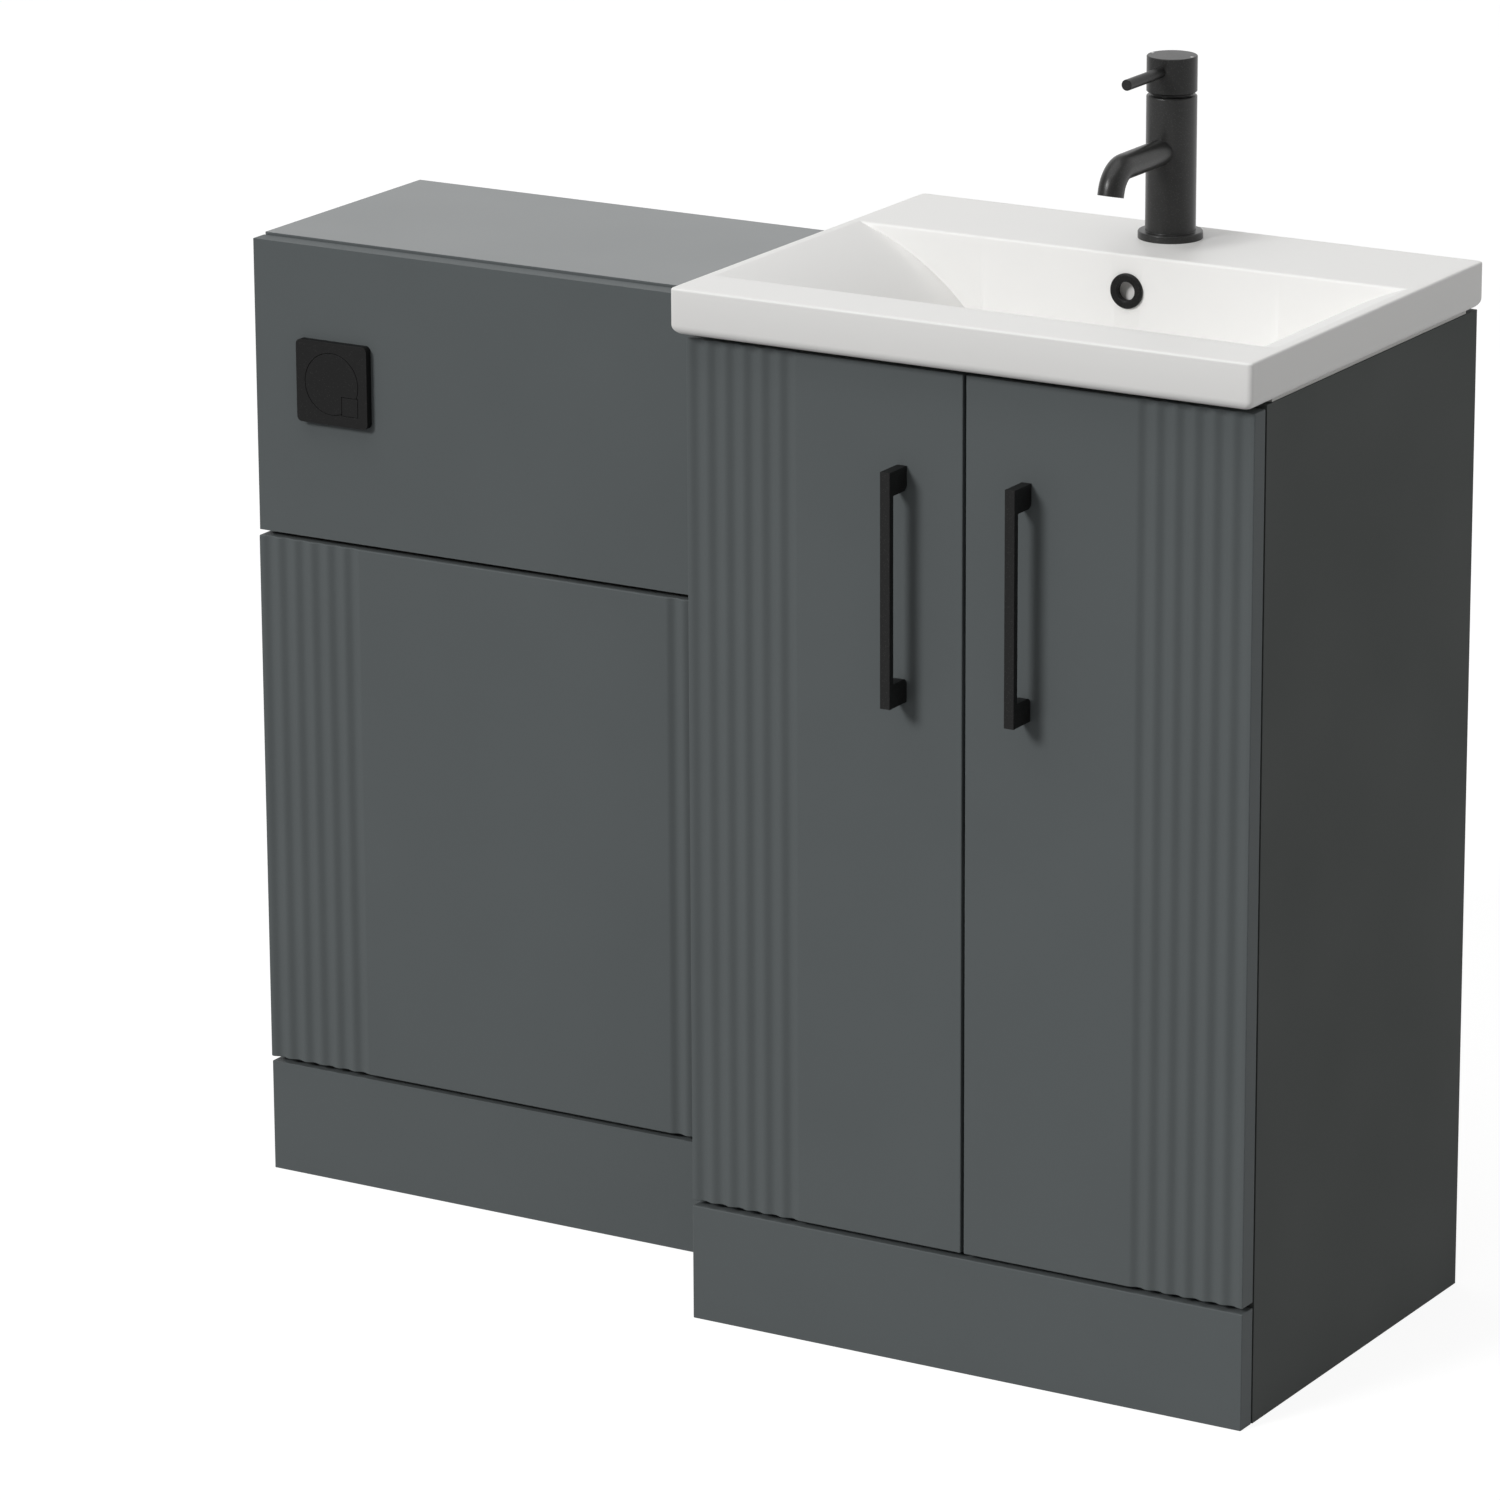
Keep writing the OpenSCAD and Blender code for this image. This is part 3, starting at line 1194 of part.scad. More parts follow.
wc_left_side();
wc_right_side();
wc_worktop();
wc_fascia();
wc_lower_panel();
wc_plinth();
wc_front_rails();
wc_rear_rails();
wc_panel_studs();
worktop_pegs();
cistern_tank();
cistern_lid();
cistern_screws();
fill_valve();
fill_valve_nut();
fill_float();
flush_valve_body();
flush_valve_core();
flush_pipe();
flush_pipe_nut();
air_tubes();
flush_plate();
full_flush_button();
half_flush_button();
button_housing();
button_nut();
van_left_side();
van_right_side();
van_base();
van_shelf();
shelf_pins();
van_rails();
van_plinth();
plinth_blocks();
left_door();
right_door();
left_handle();
right_handle();
left_handle_screws();
right_handle_screws();
left_hinge_cups();
right_hinge_cups();
left_hinge_plates();
right_hinge_plates();
door_bumpers();
basin();
basin_seal();
overflow_ring();
waste_body();
waste_plug();
waste_nut();
bottle_trap();
trap_pipe();
tap_body();
tap_aerator();
tap_stem();
tap_head();
tap_pivot_pin();
tap_lever();
tap_fixing();
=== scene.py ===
"""Looks of the toilet and basin combination unit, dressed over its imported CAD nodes. Metres, +Z up."""

import json
from math import cos, pi, radians, sin, tan

import bmesh
import bpy
import numpy as np
from mathutils import Matrix, Vector


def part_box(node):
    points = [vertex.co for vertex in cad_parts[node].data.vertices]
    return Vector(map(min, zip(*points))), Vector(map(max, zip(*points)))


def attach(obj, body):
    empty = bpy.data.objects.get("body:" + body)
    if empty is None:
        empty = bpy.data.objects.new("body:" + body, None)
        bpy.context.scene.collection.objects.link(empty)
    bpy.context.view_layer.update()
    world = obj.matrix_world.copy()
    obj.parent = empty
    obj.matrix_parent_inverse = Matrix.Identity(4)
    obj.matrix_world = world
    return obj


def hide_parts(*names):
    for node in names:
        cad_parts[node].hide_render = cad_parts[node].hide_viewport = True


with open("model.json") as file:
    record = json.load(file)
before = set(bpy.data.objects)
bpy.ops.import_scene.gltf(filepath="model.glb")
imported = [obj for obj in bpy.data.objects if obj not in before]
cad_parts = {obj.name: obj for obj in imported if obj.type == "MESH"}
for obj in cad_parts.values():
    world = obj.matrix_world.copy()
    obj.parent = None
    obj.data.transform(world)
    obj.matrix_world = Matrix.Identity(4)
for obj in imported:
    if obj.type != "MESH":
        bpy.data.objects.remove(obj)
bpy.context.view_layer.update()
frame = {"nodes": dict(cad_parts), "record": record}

MM = 0.001
NODE_SLOT = {part["node"]: part["material_slot"] for part in frame["record"]["subparts"]}
NODE_BODY = {
    node: body for body, nodes in frame["record"]["behaviour"]["bodies"].items() for node in nodes
}


# ---------- building nodes ----------


def put(tree, kind, values=None, **settings):
    """Adds a node to a tree, with its settings, and its inputs as values or as links."""
    node = tree.nodes.new(kind)
    for key, value in settings.items():
        setattr(node, key, value)
    for key, value in (values or {}).items():
        if isinstance(value, bpy.types.NodeSocket):
            tree.links.new(value, node.inputs[key])
        else:
            node.inputs[key].default_value = value
    return node


def calc(tree, operation, a, b=0.0, c=0.0):
    return put(tree, "ShaderNodeMath", {0: a, 1: b, 2: c}, operation=operation).outputs[0]


def times(tree, a, b):
    return calc(tree, "MULTIPLY", a, b)


def minus(tree, a, b):
    return calc(tree, "SUBTRACT", a, b)


def spot_of(tree):
    """Where the shaded point is on its object."""
    return put(tree, "ShaderNodeTexCoord").outputs["Object"]


def ramp(tree, value, start, end, low=0.0, high=1.0):
    """Goes from low to high as the value goes from start to end, and stays there."""
    values = {"Value": value, "From Min": start, "From Max": end, "To Min": low, "To Max": high}
    return put(tree, "ShaderNodeMapRange", values).outputs[0]


def noise(tree, where, scale, detail, rough=0.5):
    values = {"Vector": where, "Scale": scale, "Detail": detail, "Roughness": rough}
    return put(tree, "ShaderNodeTexNoise", values).outputs["Fac"]


def shader_group(name, inputs, outputs):
    """A shader node group with named sockets; returns the tree, its inputs and its output node."""
    tree = bpy.data.node_groups.new(name, "ShaderNodeTree")
    for label, kind, value in inputs:
        socket = tree.interface.new_socket(label, in_out="INPUT", socket_type="NodeSocket" + kind)
        socket.default_value = value
    for label, kind in outputs:
        tree.interface.new_socket(label, in_out="OUTPUT", socket_type="NodeSocket" + kind)
    entry = tree.nodes.new("NodeGroupInput")
    leave = tree.nodes.new("NodeGroupOutput")
    return tree, entry.outputs, leave.inputs


def mix_colour(tree, share, a, b):
    """Mixes two colours; the node has its colours at the inputs 6 and 7 and at the output 2."""
    return put(tree, "ShaderNodeMix", {0: share, 6: a, 7: b}, data_type="RGBA").outputs[2]


# ---------- effects that several finishes share ----------


def make_fine_grain():
    """Fine skin of a coated or moulded surface: a height, and a slow patchiness from 0 to 1."""
    tree, given, out = shader_group(
        "fine grain",
        [("Grains per metre", "Float", 900.0), ("Softness", "Float", 0.5), ("Patch size", "Float", 0.12)],
        [("Height", "Float"), ("Patch", "Float")],
    )
    where = spot_of(tree)
    fine = noise(tree, where, given["Grains per metre"], 1.0, given["Softness"])
    broad = noise(tree, where, times(tree, given["Grains per metre"], 0.17), 2.0)
    height = calc(tree, "MULTIPLY_ADD", broad, 0.6, times(tree, fine, 0.4))
    tree.links.new(height, out["Height"])
    tree.links.new(noise(tree, where, calc(tree, "DIVIDE", 1.0, given["Patch size"]), 3.0), out["Patch"])
    return tree


def make_worn_edges():
    """A mask of 1 on outside edges, broken up by noise."""
    tree, given, out = shader_group(
        "worn edges",
        [("Width", "Float", 0.0015), ("Breaks per metre", "Float", 60.0)],
        [("Mask", "Float")],
    )
    rounded = put(tree, "ShaderNodeBevel", {"Radius": given["Width"]}, samples=4).outputs["Normal"]
    true = put(tree, "ShaderNodeNewGeometry").outputs["Normal"]
    match = put(tree, "ShaderNodeVectorMath", {0: rounded, 1: true}, operation="DOT_PRODUCT").outputs["Value"]
    turn = minus(tree, 1.0, match)
    where = spot_of(tree)
    breaks = noise(tree, where, given["Breaks per metre"], 3.0)
    mask = times(tree, times(tree, turn, 3.0), calc(tree, "ADD", breaks, 0.2))
    tree.links.new(put(tree, "ShaderNodeClamp", {"Value": mask}).outputs[0], out["Mask"])
    return tree


def make_dust():
    """A mask of the dust that settles on faces that look up."""
    tree, given, out = shader_group(
        "settled dust", [("Amount", "Float", 0.1), ("Patches per metre", "Float", 9.0)], [("Mask", "Float")]
    )
    normal = put(tree, "ShaderNodeNewGeometry").outputs["Normal"]
    up = ramp(tree, put(tree, "ShaderNodeSeparateXYZ", {0: normal}).outputs["Z"], 0.55, 1.0)
    where = spot_of(tree)
    cloud = noise(tree, where, given["Patches per metre"], 5.0, 0.6)
    mask = times(tree, times(tree, up, cloud), given["Amount"])
    tree.links.new(mask, out["Mask"])
    return tree


def make_speckle():
    """Tiny bright specks of a powder coat, as a mask and a height."""
    tree, given, out = shader_group(
        "powder speckle",
        [("Specks per metre", "Float", 1500.0), ("Share", "Float", 0.2)],
        [("Mask", "Float"), ("Height", "Float")],
    )
    where = spot_of(tree)
    cells = put(tree, "ShaderNodeTexVoronoi", {"Vector": where, "Scale": given["Specks per metre"]})
    pick = put(tree, "ShaderNodeSeparateColor", {0: cells.outputs["Color"]}).outputs[0]
    chosen = calc(tree, "LESS_THAN", pick, given["Share"])
    dot = ramp(tree, cells.outputs["Distance"], 0.45, 0.1)
    tree.links.new(times(tree, chosen, dot), out["Mask"])
    pitch = times(tree, given["Specks per metre"], 0.6)
    tree.links.new(noise(tree, where, pitch, 1.0), out["Height"])
    return tree


def make_brushed():
    """Fine lines of a drawn or rolled metal sheet, as a height and a streak mask."""
    tree, given, out = shader_group(
        "brushed lines",
        [("Lines per metre", "Float", 1200.0), ("Stretch", "Vector", (0.05, 1.0, 1.0))],
        [("Height", "Float"), ("Streak", "Float")],
    )
    where = spot_of(tree)
    stretched = put(tree, "ShaderNodeVectorMath", {0: where, 1: given["Stretch"]}, operation="MULTIPLY")
    drawn = stretched.outputs[0]
    tree.links.new(noise(tree, drawn, given["Lines per metre"], 2.0), out["Height"])
    broad = times(tree, given["Lines per metre"], 0.2)
    tree.links.new(noise(tree, drawn, broad, 2.0), out["Streak"])
    return tree


def make_chip_core():
    """Pressed wood chips: a mask of pale to dark flakes, and their height."""
    tree, given, out = shader_group(
        "wood chips", [("Chips per metre", "Float", 260.0)], [("Tone", "Float"), ("Height", "Float")]
    )
    where = spot_of(tree)
    flat = put(tree, "ShaderNodeVectorMath", {0: where, 1: (0.35, 1.0, 1.6)}, operation="MULTIPLY").outputs[0]
    cells = put(tree, "ShaderNodeTexVoronoi", {"Vector": flat, "Scale": given["Chips per metre"]})
    flake = put(tree, "ShaderNodeSeparateColor", {0: cells.outputs["Color"]}).outputs[1]
    blur = noise(tree, flat, times(tree, given["Chips per metre"], 0.5), 4.0, 0.7)
    tree.links.new(calc(tree, "MULTIPLY_ADD", flake, 0.5, times(tree, blur, 0.5)), out["Tone"])
    tree.links.new(blur, out["Height"])
    return tree


FINE_GRAIN = make_fine_grain()
WORN_EDGES = make_worn_edges()
DUST = make_dust()
SPECKLE = make_speckle()
BRUSHED = make_brushed()
CHIPS = make_chip_core()


# ---------- finishes ----------


DUST_COLOUR = (0.55, 0.54, 0.52, 1.0)


def new_finish(name, **sockets):
    """A material, its tree and its shader, with some of the shader's inputs set."""
    material = bpy.data.materials.new(name)
    material.use_nodes = True
    tree = material.node_tree
    shader = tree.nodes["Principled BSDF"]
    for label, value in sockets.items():
        shader.inputs[label.replace("_", " ")].default_value = value
    material.diffuse_color = tuple(shader.inputs["Base Color"].default_value)
    return material, tree, shader


def use(tree, group, **values):
    """Puts a shared effect into a tree; returns its outputs."""
    named = {key.replace("_", " "): value for key, value in values.items()}
    return put(tree, "ShaderNodeGroup", named, node_tree=group).outputs


def shade(colour, factor):
    """A colour made lighter or darker, with its alpha."""
    return tuple(min(1.0, c * factor) for c in colour) + (1.0,)


def roughen(tree, shader, height, depth):
    """Feeds a height from 0 to 1, with its depth in metres, to the shader's normal."""
    bump = put(tree, "ShaderNodeBump", {"Height": height, "Distance": depth, "Strength": 1.0})
    tree.links.new(bump.outputs[0], shader.inputs["Normal"])


def vary(tree, socket, driver, low, high):
    """Drives a shader socket from low to high as the driver goes from 0.3 to 0.7."""
    tree.links.new(ramp(tree, driver, 0.3, 0.7, low, high), socket)


def coated(name, colour, worn, rough, grain, depth, edge=0.0, dust=0.0, patch=0.05, **sockets):
    """A painted or moulded surface: grain per metre, its depth in metres, worn edges, dust and patches."""
    material, tree, shader = new_finish(name, **sockets)
    skin = use(tree, FINE_GRAIN, Grains_per_metre=grain)
    tint = mix_colour(tree, skin["Patch"], shade(colour, 1 - patch), shade(colour, 1 + patch))
    if edge:
        mask = use(tree, WORN_EDGES)["Mask"]
        tint = mix_colour(tree, times(tree, mask, edge), tint, worn + (1.0,))
    if dust:
        mask = use(tree, DUST, Amount=dust)["Mask"]
        tint = mix_colour(tree, mask, tint, DUST_COLOUR)
    tree.links.new(tint, shader.inputs["Base Color"])
    vary(tree, shader.inputs["Roughness"], skin["Patch"], *rough)
    roughen(tree, shader, skin["Height"], depth)
    material.diffuse_color = colour + (1.0,)
    return material


def black_coat(name, colour, rough, share, depth, shine):
    """Matt black powder coat: near-black, with a share of fine pale specks of a depth in metres."""
    material, tree, shader = new_finish(name, Specular_IOR_Level=shine)
    specks = use(tree, SPECKLE, Share=share)
    skin = use(tree, FINE_GRAIN, Grains_per_metre=500.0)
    edges = use(tree, WORN_EDGES, Width=0.0008)["Mask"]
    base = mix_colour(tree, skin["Patch"], shade(colour, 0.85), shade(colour, 1.15))
    base = mix_colour(tree, times(tree, specks["Mask"], 0.22), base, (0.30, 0.30, 0.29, 1.0))
    base = mix_colour(tree, times(tree, edges, 0.12), base, (0.10, 0.10, 0.10, 1.0))
    tree.links.new(base, shader.inputs["Base Color"])
    vary(tree, shader.inputs["Roughness"], skin["Patch"], *rough)
    roughen(tree, shader, specks["Height"], depth)
    return material


def metal(name, colour, rough, lines, depth, stretch):
    """Bare metal with fine lines along the axis that has the small stretch."""
    material, tree, shader = new_finish(name, Metallic=1.0)
    streaks = use(tree, BRUSHED, Lines_per_metre=lines, Stretch=stretch)
    tint = mix_colour(tree, streaks["Streak"], shade(colour, 0.88), shade(colour, 1.08))
    tree.links.new(tint, shader.inputs["Base Color"])
    vary(tree, shader.inputs["Roughness"], streaks["Streak"], *rough)
    roughen(tree, shader, streaks["Height"], depth)
    return material


def glaze():
    """Vitreous china: warm white with a soft gloss and a slow waviness."""
    material, tree, shader = new_finish("white glaze", Specular_IOR_Level=0.3)
    skin = use(tree, FINE_GRAIN, Grains_per_metre=70.0, Patch_size=0.2)
    tint = mix_colour(tree, skin["Patch"], (0.835, 0.829, 0.814, 1.0), (0.855, 0.849, 0.834, 1.0))
    mask = use(tree, DUST, Amount=0.02)["Mask"]
    tint = mix_colour(tree, mask, tint, (0.6, 0.6, 0.58, 1.0))
    tree.links.new(tint, shader.inputs["Base Color"])
    vary(tree, shader.inputs["Roughness"], skin["Patch"], 0.44, 0.50)
    roughen(tree, shader, skin["Height"], 0.00012)
    return material


def chipboard():
    """Bare pressed wood chips with paler edges."""
    material, tree, shader = new_finish("bare board")
    chips = use(tree, CHIPS)
    tint = mix_colour(tree, chips["Tone"], (0.33, 0.22, 0.12, 1.0), (0.68, 0.53, 0.34, 1.0))
    edges = use(tree, WORN_EDGES, Width=0.001)["Mask"]
    tint = mix_colour(tree, times(tree, edges, 0.35), tint, (0.8, 0.7, 0.5, 1.0))
    tree.links.new(tint, shader.inputs["Base Color"])
    vary(tree, shader.inputs["Roughness"], chips["Tone"], 0.65, 0.85)
    roughen(tree, shader, chips["Height"], 0.0003)
    return material


PAINT = (0.1195, 0.1325, 0.1355)
# The cabinet's paint made darker for the side panels: painted shade on the sides that face away from the key
# lamp.
SHADED_SIDE_PAINT = (0.0895, 0.0955, 0.093)
WORN_PAINT = (0.2, 0.21, 0.21)
BLACK = (0.0095, 0.0095, 0.0095)
SOFT_GREY = (0.62, 0.62, 0.60)
PALE_GREY = (0.7, 0.7, 0.7)
ALONG_X, ALONG_Z, ROUND_Z = (0.05, 1.0, 1.0), (1.0, 1.0, 0.06), (0.05, 0.05, 1.0)  # how lines stretch
FINISH = {
    "cabinet": coated(
        "anthracite satin paint", PAINT, WORN_PAINT, (0.44, 0.52), 1400.0, 0.00006,
        edge=0.12, dust=0.03, Specular_IOR_Level=0.06,
    ),
    "raw_board": chipboard(),
    "ceramic": glaze(),
    "matt_black_metal": black_coat("matt black coat", BLACK, (0.40, 0.48), 0.12, 0.00003, 0.2),
    "black_plastic": black_coat("satin black plastic", BLACK, (0.44, 0.52), 0.06, 0.00002, 0.16),
    "white_plastic": coated(
        "white plastic", (0.72, 0.72, 0.70), (0.8, 0.8, 0.79), (0.38, 0.5), 700.0, 0.00006,
        edge=0.2, dust=0.25,
    ),
    "grey_plastic": coated(
        "pale grey plastic", (0.34, 0.37, 0.40), (0.5, 0.52, 0.54), (0.35, 0.5), 800.0, 0.00005,
        edge=0.2, dust=0.2,
    ),
    "blue_plastic": coated(
        "blue plastic", (0.035, 0.10, 0.30), (0.12, 0.22, 0.45), (0.32, 0.45), 800.0, 0.00005,
        edge=0.2, dust=0.15,
    ),
    "steel": metal("zinc plated steel", (0.56, 0.57, 0.58), (0.28, 0.42), 900.0, 0.00003, ALONG_Z),
    "brass": metal("turned brass", (0.72, 0.52, 0.24), (0.22, 0.34), 1400.0, 0.00002, ROUND_Z),
    "seal": coated("soft grey seal", SOFT_GREY, PALE_GREY, (0.6, 0.75), 500.0, 0.0001, dust=0.2),
    "tube": coated(
        "blue air tube", (0.05, 0.16, 0.42), (0.1, 0.25, 0.5), (0.25, 0.35), 300.0, 0.00003, dust=0.1
    ),
    "chrome": metal("bright chrome", (0.78, 0.79, 0.80), (0.06, 0.12), 500.0, 0.00001, ALONG_X),
}
# A darker, duller copy of the cabinet paint for the side panels: painted shade.
SHADED_SIDE_FINISH = coated(
    "anthracite side paint with painted shade", SHADED_SIDE_PAINT, (0.16, 0.17, 0.17), (0.5, 0.6), 1200.0, 0.00006,
    edge=0.1, Specular_IOR_Level=0.04,
)
TOP_FINISH = coated(
    "anthracite worktop paint", PAINT, WORN_PAINT, (0.285, 0.305), 900.0, 0.00002,
    edge=0.12, patch=0.02, Specular_IOR_Level=0.56,
)
# One black coat in two copies: the body's is lighter, a painted reflection of the white basin on the column;
# the head and lever keep the darker tone.
BASIN_LIT_TAP_FINISH = black_coat("black tap coat with painted basin reflection", (0.019, 0.019, 0.0185), (0.30, 0.36), 0.25, 0.00003, 0.4)
HEAD_FINISH = black_coat("black tap head coat", (0.013, 0.013, 0.0127), (0.30, 0.36), 0.2, 0.00003, 0.3)
PALE_DOT = coated("pale enamel dot", SOFT_GREY, PALE_GREY, (0.2, 0.3), 400.0, 0.00001)
for node, part in frame["nodes"].items():
    part.data.materials.clear()
    part.data.materials.append(FINISH[NODE_SLOT[node]])


# ---------- making pieces ----------


def new_object(name, mesh):
    piece = bpy.data.objects.new(name, mesh)
    bpy.context.scene.collection.objects.link(piece)
    return piece


def smooth(mesh, sharp=None):
    """Smooth shading, and hard edges where they are sharper than the angle, if one is given."""
    mesh.polygons.foreach_set("use_smooth", [True] * len(mesh.polygons))
    if sharp is not None:
        mesh.set_sharp_from_angle(angle=radians(sharp))


def mesh_of(name, points, faces, sharp=30.0):
    """A mesh from points in metres, smooth but for edges sharper than the angle."""
    mesh = bpy.data.meshes.new(name)
    mesh.from_pydata([tuple(p) for p in points], [], [tuple(f) for f in faces])
    mesh.validate()
    form = bmesh.new()
    form.from_mesh(mesh)
    bmesh.ops.recalc_face_normals(form, faces=form.faces)
    form.to_mesh(mesh)
    form.free()
    smooth(mesh, sharp)
    return mesh


def settle(piece):
    """Turns a piece's modifiers into plain mesh."""
    seen = piece.evaluated_get(bpy.context.evaluated_depsgraph_get())
    mesh = bpy.data.meshes.new_from_object(seen)
    piece.modifiers.clear()
    piece.data = mesh
    return piece


def carve(piece, tools, operation="DIFFERENCE"):
    """Cuts, or joins, the tools into a piece one after another, and removes them."""
    for tool in tools:
        change = piece.modifiers.new("carve", "BOOLEAN")
        change.operation = operation
        change.solver = "MANIFOLD"
        change.object = tool
        settle(piece)
        bpy.data.objects.remove(tool)
    return piece


def round_edges(piece, width, segments, angle=32.0):
    """Rounds the edges that are sharper than the angle."""
    edge = piece.modifiers.new("rounded edges", "BEVEL")
    edge.width = width
    edge.segments = segments
    edge.limit_method = "ANGLE"
    edge.angle_limit = radians(angle)
    edge.harden_normals = True
    smooth(piece.data)


def place(piece, body, slot, *nodes, finish=None):
    """Gives a piece its finish and body, and the nodes that it stands for."""
    piece.data.materials.clear()
    piece.data.materials.append(finish or FINISH[slot])
    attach(piece, body)
    if nodes:
        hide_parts(*nodes)
    return piece


WELD = 0.005 * MM
FLAT = radians(0.3)


def copy_of(node):
    """A clean closed copy of a CAD node's mesh, with its flat faces whole."""
    form = bmesh.new()
    form.from_mesh(frame["nodes"][node].data)
    bmesh.ops.remove_doubles(form, verts=form.verts, dist=WELD)
    bmesh.ops.dissolve_limit(form, angle_limit=FLAT, verts=form.verts, edges=form.edges)
    form.verts.index_update()
    points = [tuple(v.co) for v in form.verts]
    faces = [tuple(v.index for v in f.verts) for f in form.faces]
    form.free()
    return new_object(node + "_finished", mesh_of(node, points, faces))


def soften(node, width, segments=3, finish=None):
    """Stands a copy with rounded edges in for a CAD node."""
    piece = copy_of(node)
    round_edges(piece, width * MM, segments)
    return place(piece, NODE_BODY[node], NODE_SLOT[node], node, finish=finish)


FILLET_STEPS = 5
ON_AXIS = 1e-6
TURN_ONTO = {"Z": Matrix.Identity(3), "Y": Matrix.Rotation(radians(-90), 3, "X")}


def fillet(points):
    """Rounds a line of (radius, height, rounding) points where the rounding isn't 0."""
    line = []
    for i, (x, y, r) in enumerate(points):
        if r == 0 or i in (0, len(points) - 1):
            line.append((x, y))
            continue
        here = Vector((x, y))
        back = (Vector(points[i - 1][:2]) - here).normalized()
        ahead = (Vector(points[i + 1][:2]) - here).normalized()
        half = back.angle(ahead) / 2
        reach = r / tan(half)
        centre = here + (back + ahead).normalized() * (r / sin(half))
        start, end = here + back * reach - centre, here + ahead * reach - centre
        swing = start.angle_signed(end)
        for k in range(FILLET_STEPS + 1):
            turn = -swing * k / FILLET_STEPS
            across = centre.x + start.x * cos(turn) - start.y * sin(turn)
            along = centre.y + start.x * sin(turn) + start.y * cos(turn)
            line.append((across, along))
    return line


def circle_at(r, h, sides):
    """The points of a circle about z at a height."""
    return [(r * cos(2 * pi * k / sides), r * sin(2 * pi * k / sides), h) for k in range(sides)]


def about(name, verts, faces, centre, axis):
    """An object from points in mm about z, turned onto an axis through the centre."""
    at = Vector(centre)
    return new_object(name, mesh_of(name, [(TURN_ONTO[axis] @ Vector(v) + at) * MM for v in verts], faces))


def skin(rings, sides):
    """Faces from each ring of point numbers to the next; a ring may be a single point."""
    faces = []
    for a, b in zip(rings, rings[1:]):
        for k in range(sides):
            n = (k + 1) % sides
            corners = (a[k % len(a)], a[n % len(a)], b[n % len(b)], b[k % len(b)])
            face = tuple(dict.fromkeys(corners))
            if len(face) > 2:
                faces.append(face)
    return faces


def full_rings(count, sides):
    return [range(i * sides, (i + 1) * sides) for i in range(count)]


def turned(name, points, centre, axis="Z", sides=96):
    """A turned solid from (radius, height, rounding) points that start and end on the axis, in mm."""
    verts, rings = [], []
    for r, h in fillet(points):
        if r < ON_AXIS:
            rings.append([len(verts)])
            verts.append((0.0, 0.0, h))
        else:
            rings.append(range(len(verts), len(verts) + sides))
            verts += circle_at(r, h, sides)
    return about(name, verts, skin(rings, sides), centre, axis)


def drum(name, r, low, high, centre, axis="Z"):
    """A plain cylinder between two heights, in mm, for carving."""
    return turned(name, [(0, low, 0), (r, low, 0), (r, high, 0), (0, high, 0)], centre, axis)


def turned_ring(name, points, centre, axis):
    """A closed ring from a loop of (radius, height, rounding) points, in mm."""
    sides = 96
    looped = fillet([points[-1]] + points + [points[0]])[1:-1]
    verts = [point for r, h in looped for point in circle_at(r, h, sides)]
    rings = full_rings(len(looped), sides)
    return about(name, verts, skin(rings + rings[:1], sides), centre, axis)


def block(name, x, y, z):
    """A plain box between pairs of limits in mm, for carving."""
    points = [(a * MM, b * MM, c * MM) for a in x for b in y for c in z]
    faces = [(0, 1, 3, 2), (4, 6, 7, 5), (0, 4, 5, 1), (2, 3, 7, 6), (0, 2, 6, 4), (1, 5, 7, 3)]
    return new_object(name, mesh_of(name, points, faces))


def swept(name, x, stations, r):
    """A closed round bar along (y, z, angle) stations in the plane x, in mm."""
    sides = 48
    verts = []
    for y, z, a in stations:
        up = Vector((0, sin(a), cos(a)))
        side = Vector((1, 0, 0))
        for k in range(sides):
            turn = 2 * pi * k / sides
            verts.append((Vector((x, y, z)) + (side * cos(turn) + up * sin(turn)) * r) * MM)
    rings = full_rings(len(stations), sides)
    faces = skin(rings, sides) + [tuple(rings[0])[::-1], tuple(rings[-1])]
    return new_object(name, mesh_of(name, verts, faces))


# ---------- geometry node trees ----------


def geometry_tree(name, inputs):
    """A geometry node tree with named inputs; returns the tree, its inputs and their identifiers."""
    tree = bpy.data.node_groups.new(name, "GeometryNodeTree")
    ids = {}
    for label, kind, value in inputs:
        socket = tree.interface.new_socket(label, in_out="INPUT", socket_type="NodeSocket" + kind)
        if value is not None:
            socket.default_value = value
        ids[label] = socket.identifier
    tree.interface.new_socket("Geometry", in_out="OUTPUT", socket_type="NodeSocketGeometry")
    entry = tree.nodes.new("NodeGroupInput")
    return tree, entry.outputs, ids


def end_tree(tree, geometry, material):
    """Ends a tree: real geometry with its material."""
    real = put(tree, "GeometryNodeRealizeInstances", {"Geometry": geometry}).outputs[0]
    done = put(tree, "GeometryNodeSetMaterial", {"Geometry": real, "Material": material}).outputs[0]
    out = tree.nodes.new("NodeGroupOutput")
    tree.links.new(done, out.inputs[0])


def grow(recipe, name, values, points=((0, 0, 0),)):
    """Runs a geometry tree on points in mm, and keeps its result as a plain mesh."""
    tree, ids = recipe
    seed = bpy.data.meshes.new(name + "_seed")
    seed.from_pydata([tuple(Vector(p) * MM) for p in points], [], [])
    maker = new_object(name + "_maker", seed)
    shape = maker.modifiers.new("shape", "NODES")
    shape.node_group = tree
    for label, value in values.items():
        shape[ids[label]] = value
    bpy.context.view_layer.update()
    mesh = bpy.data.meshes.new_from_object(maker.evaluated_get(bpy.context.evaluated_depsgraph_get()))
    bpy.data.objects.remove(maker)
    smooth(mesh, 30.0)
    return new_object(name, mesh)


def shift(tree, geometry, height):
    """Moves a geometry up."""
    by = put(tree, "ShaderNodeCombineXYZ", {2: height}).outputs[0]
    return put(tree, "GeometryNodeTransform", {"Geometry": geometry, "Translation": by}).outputs[0]


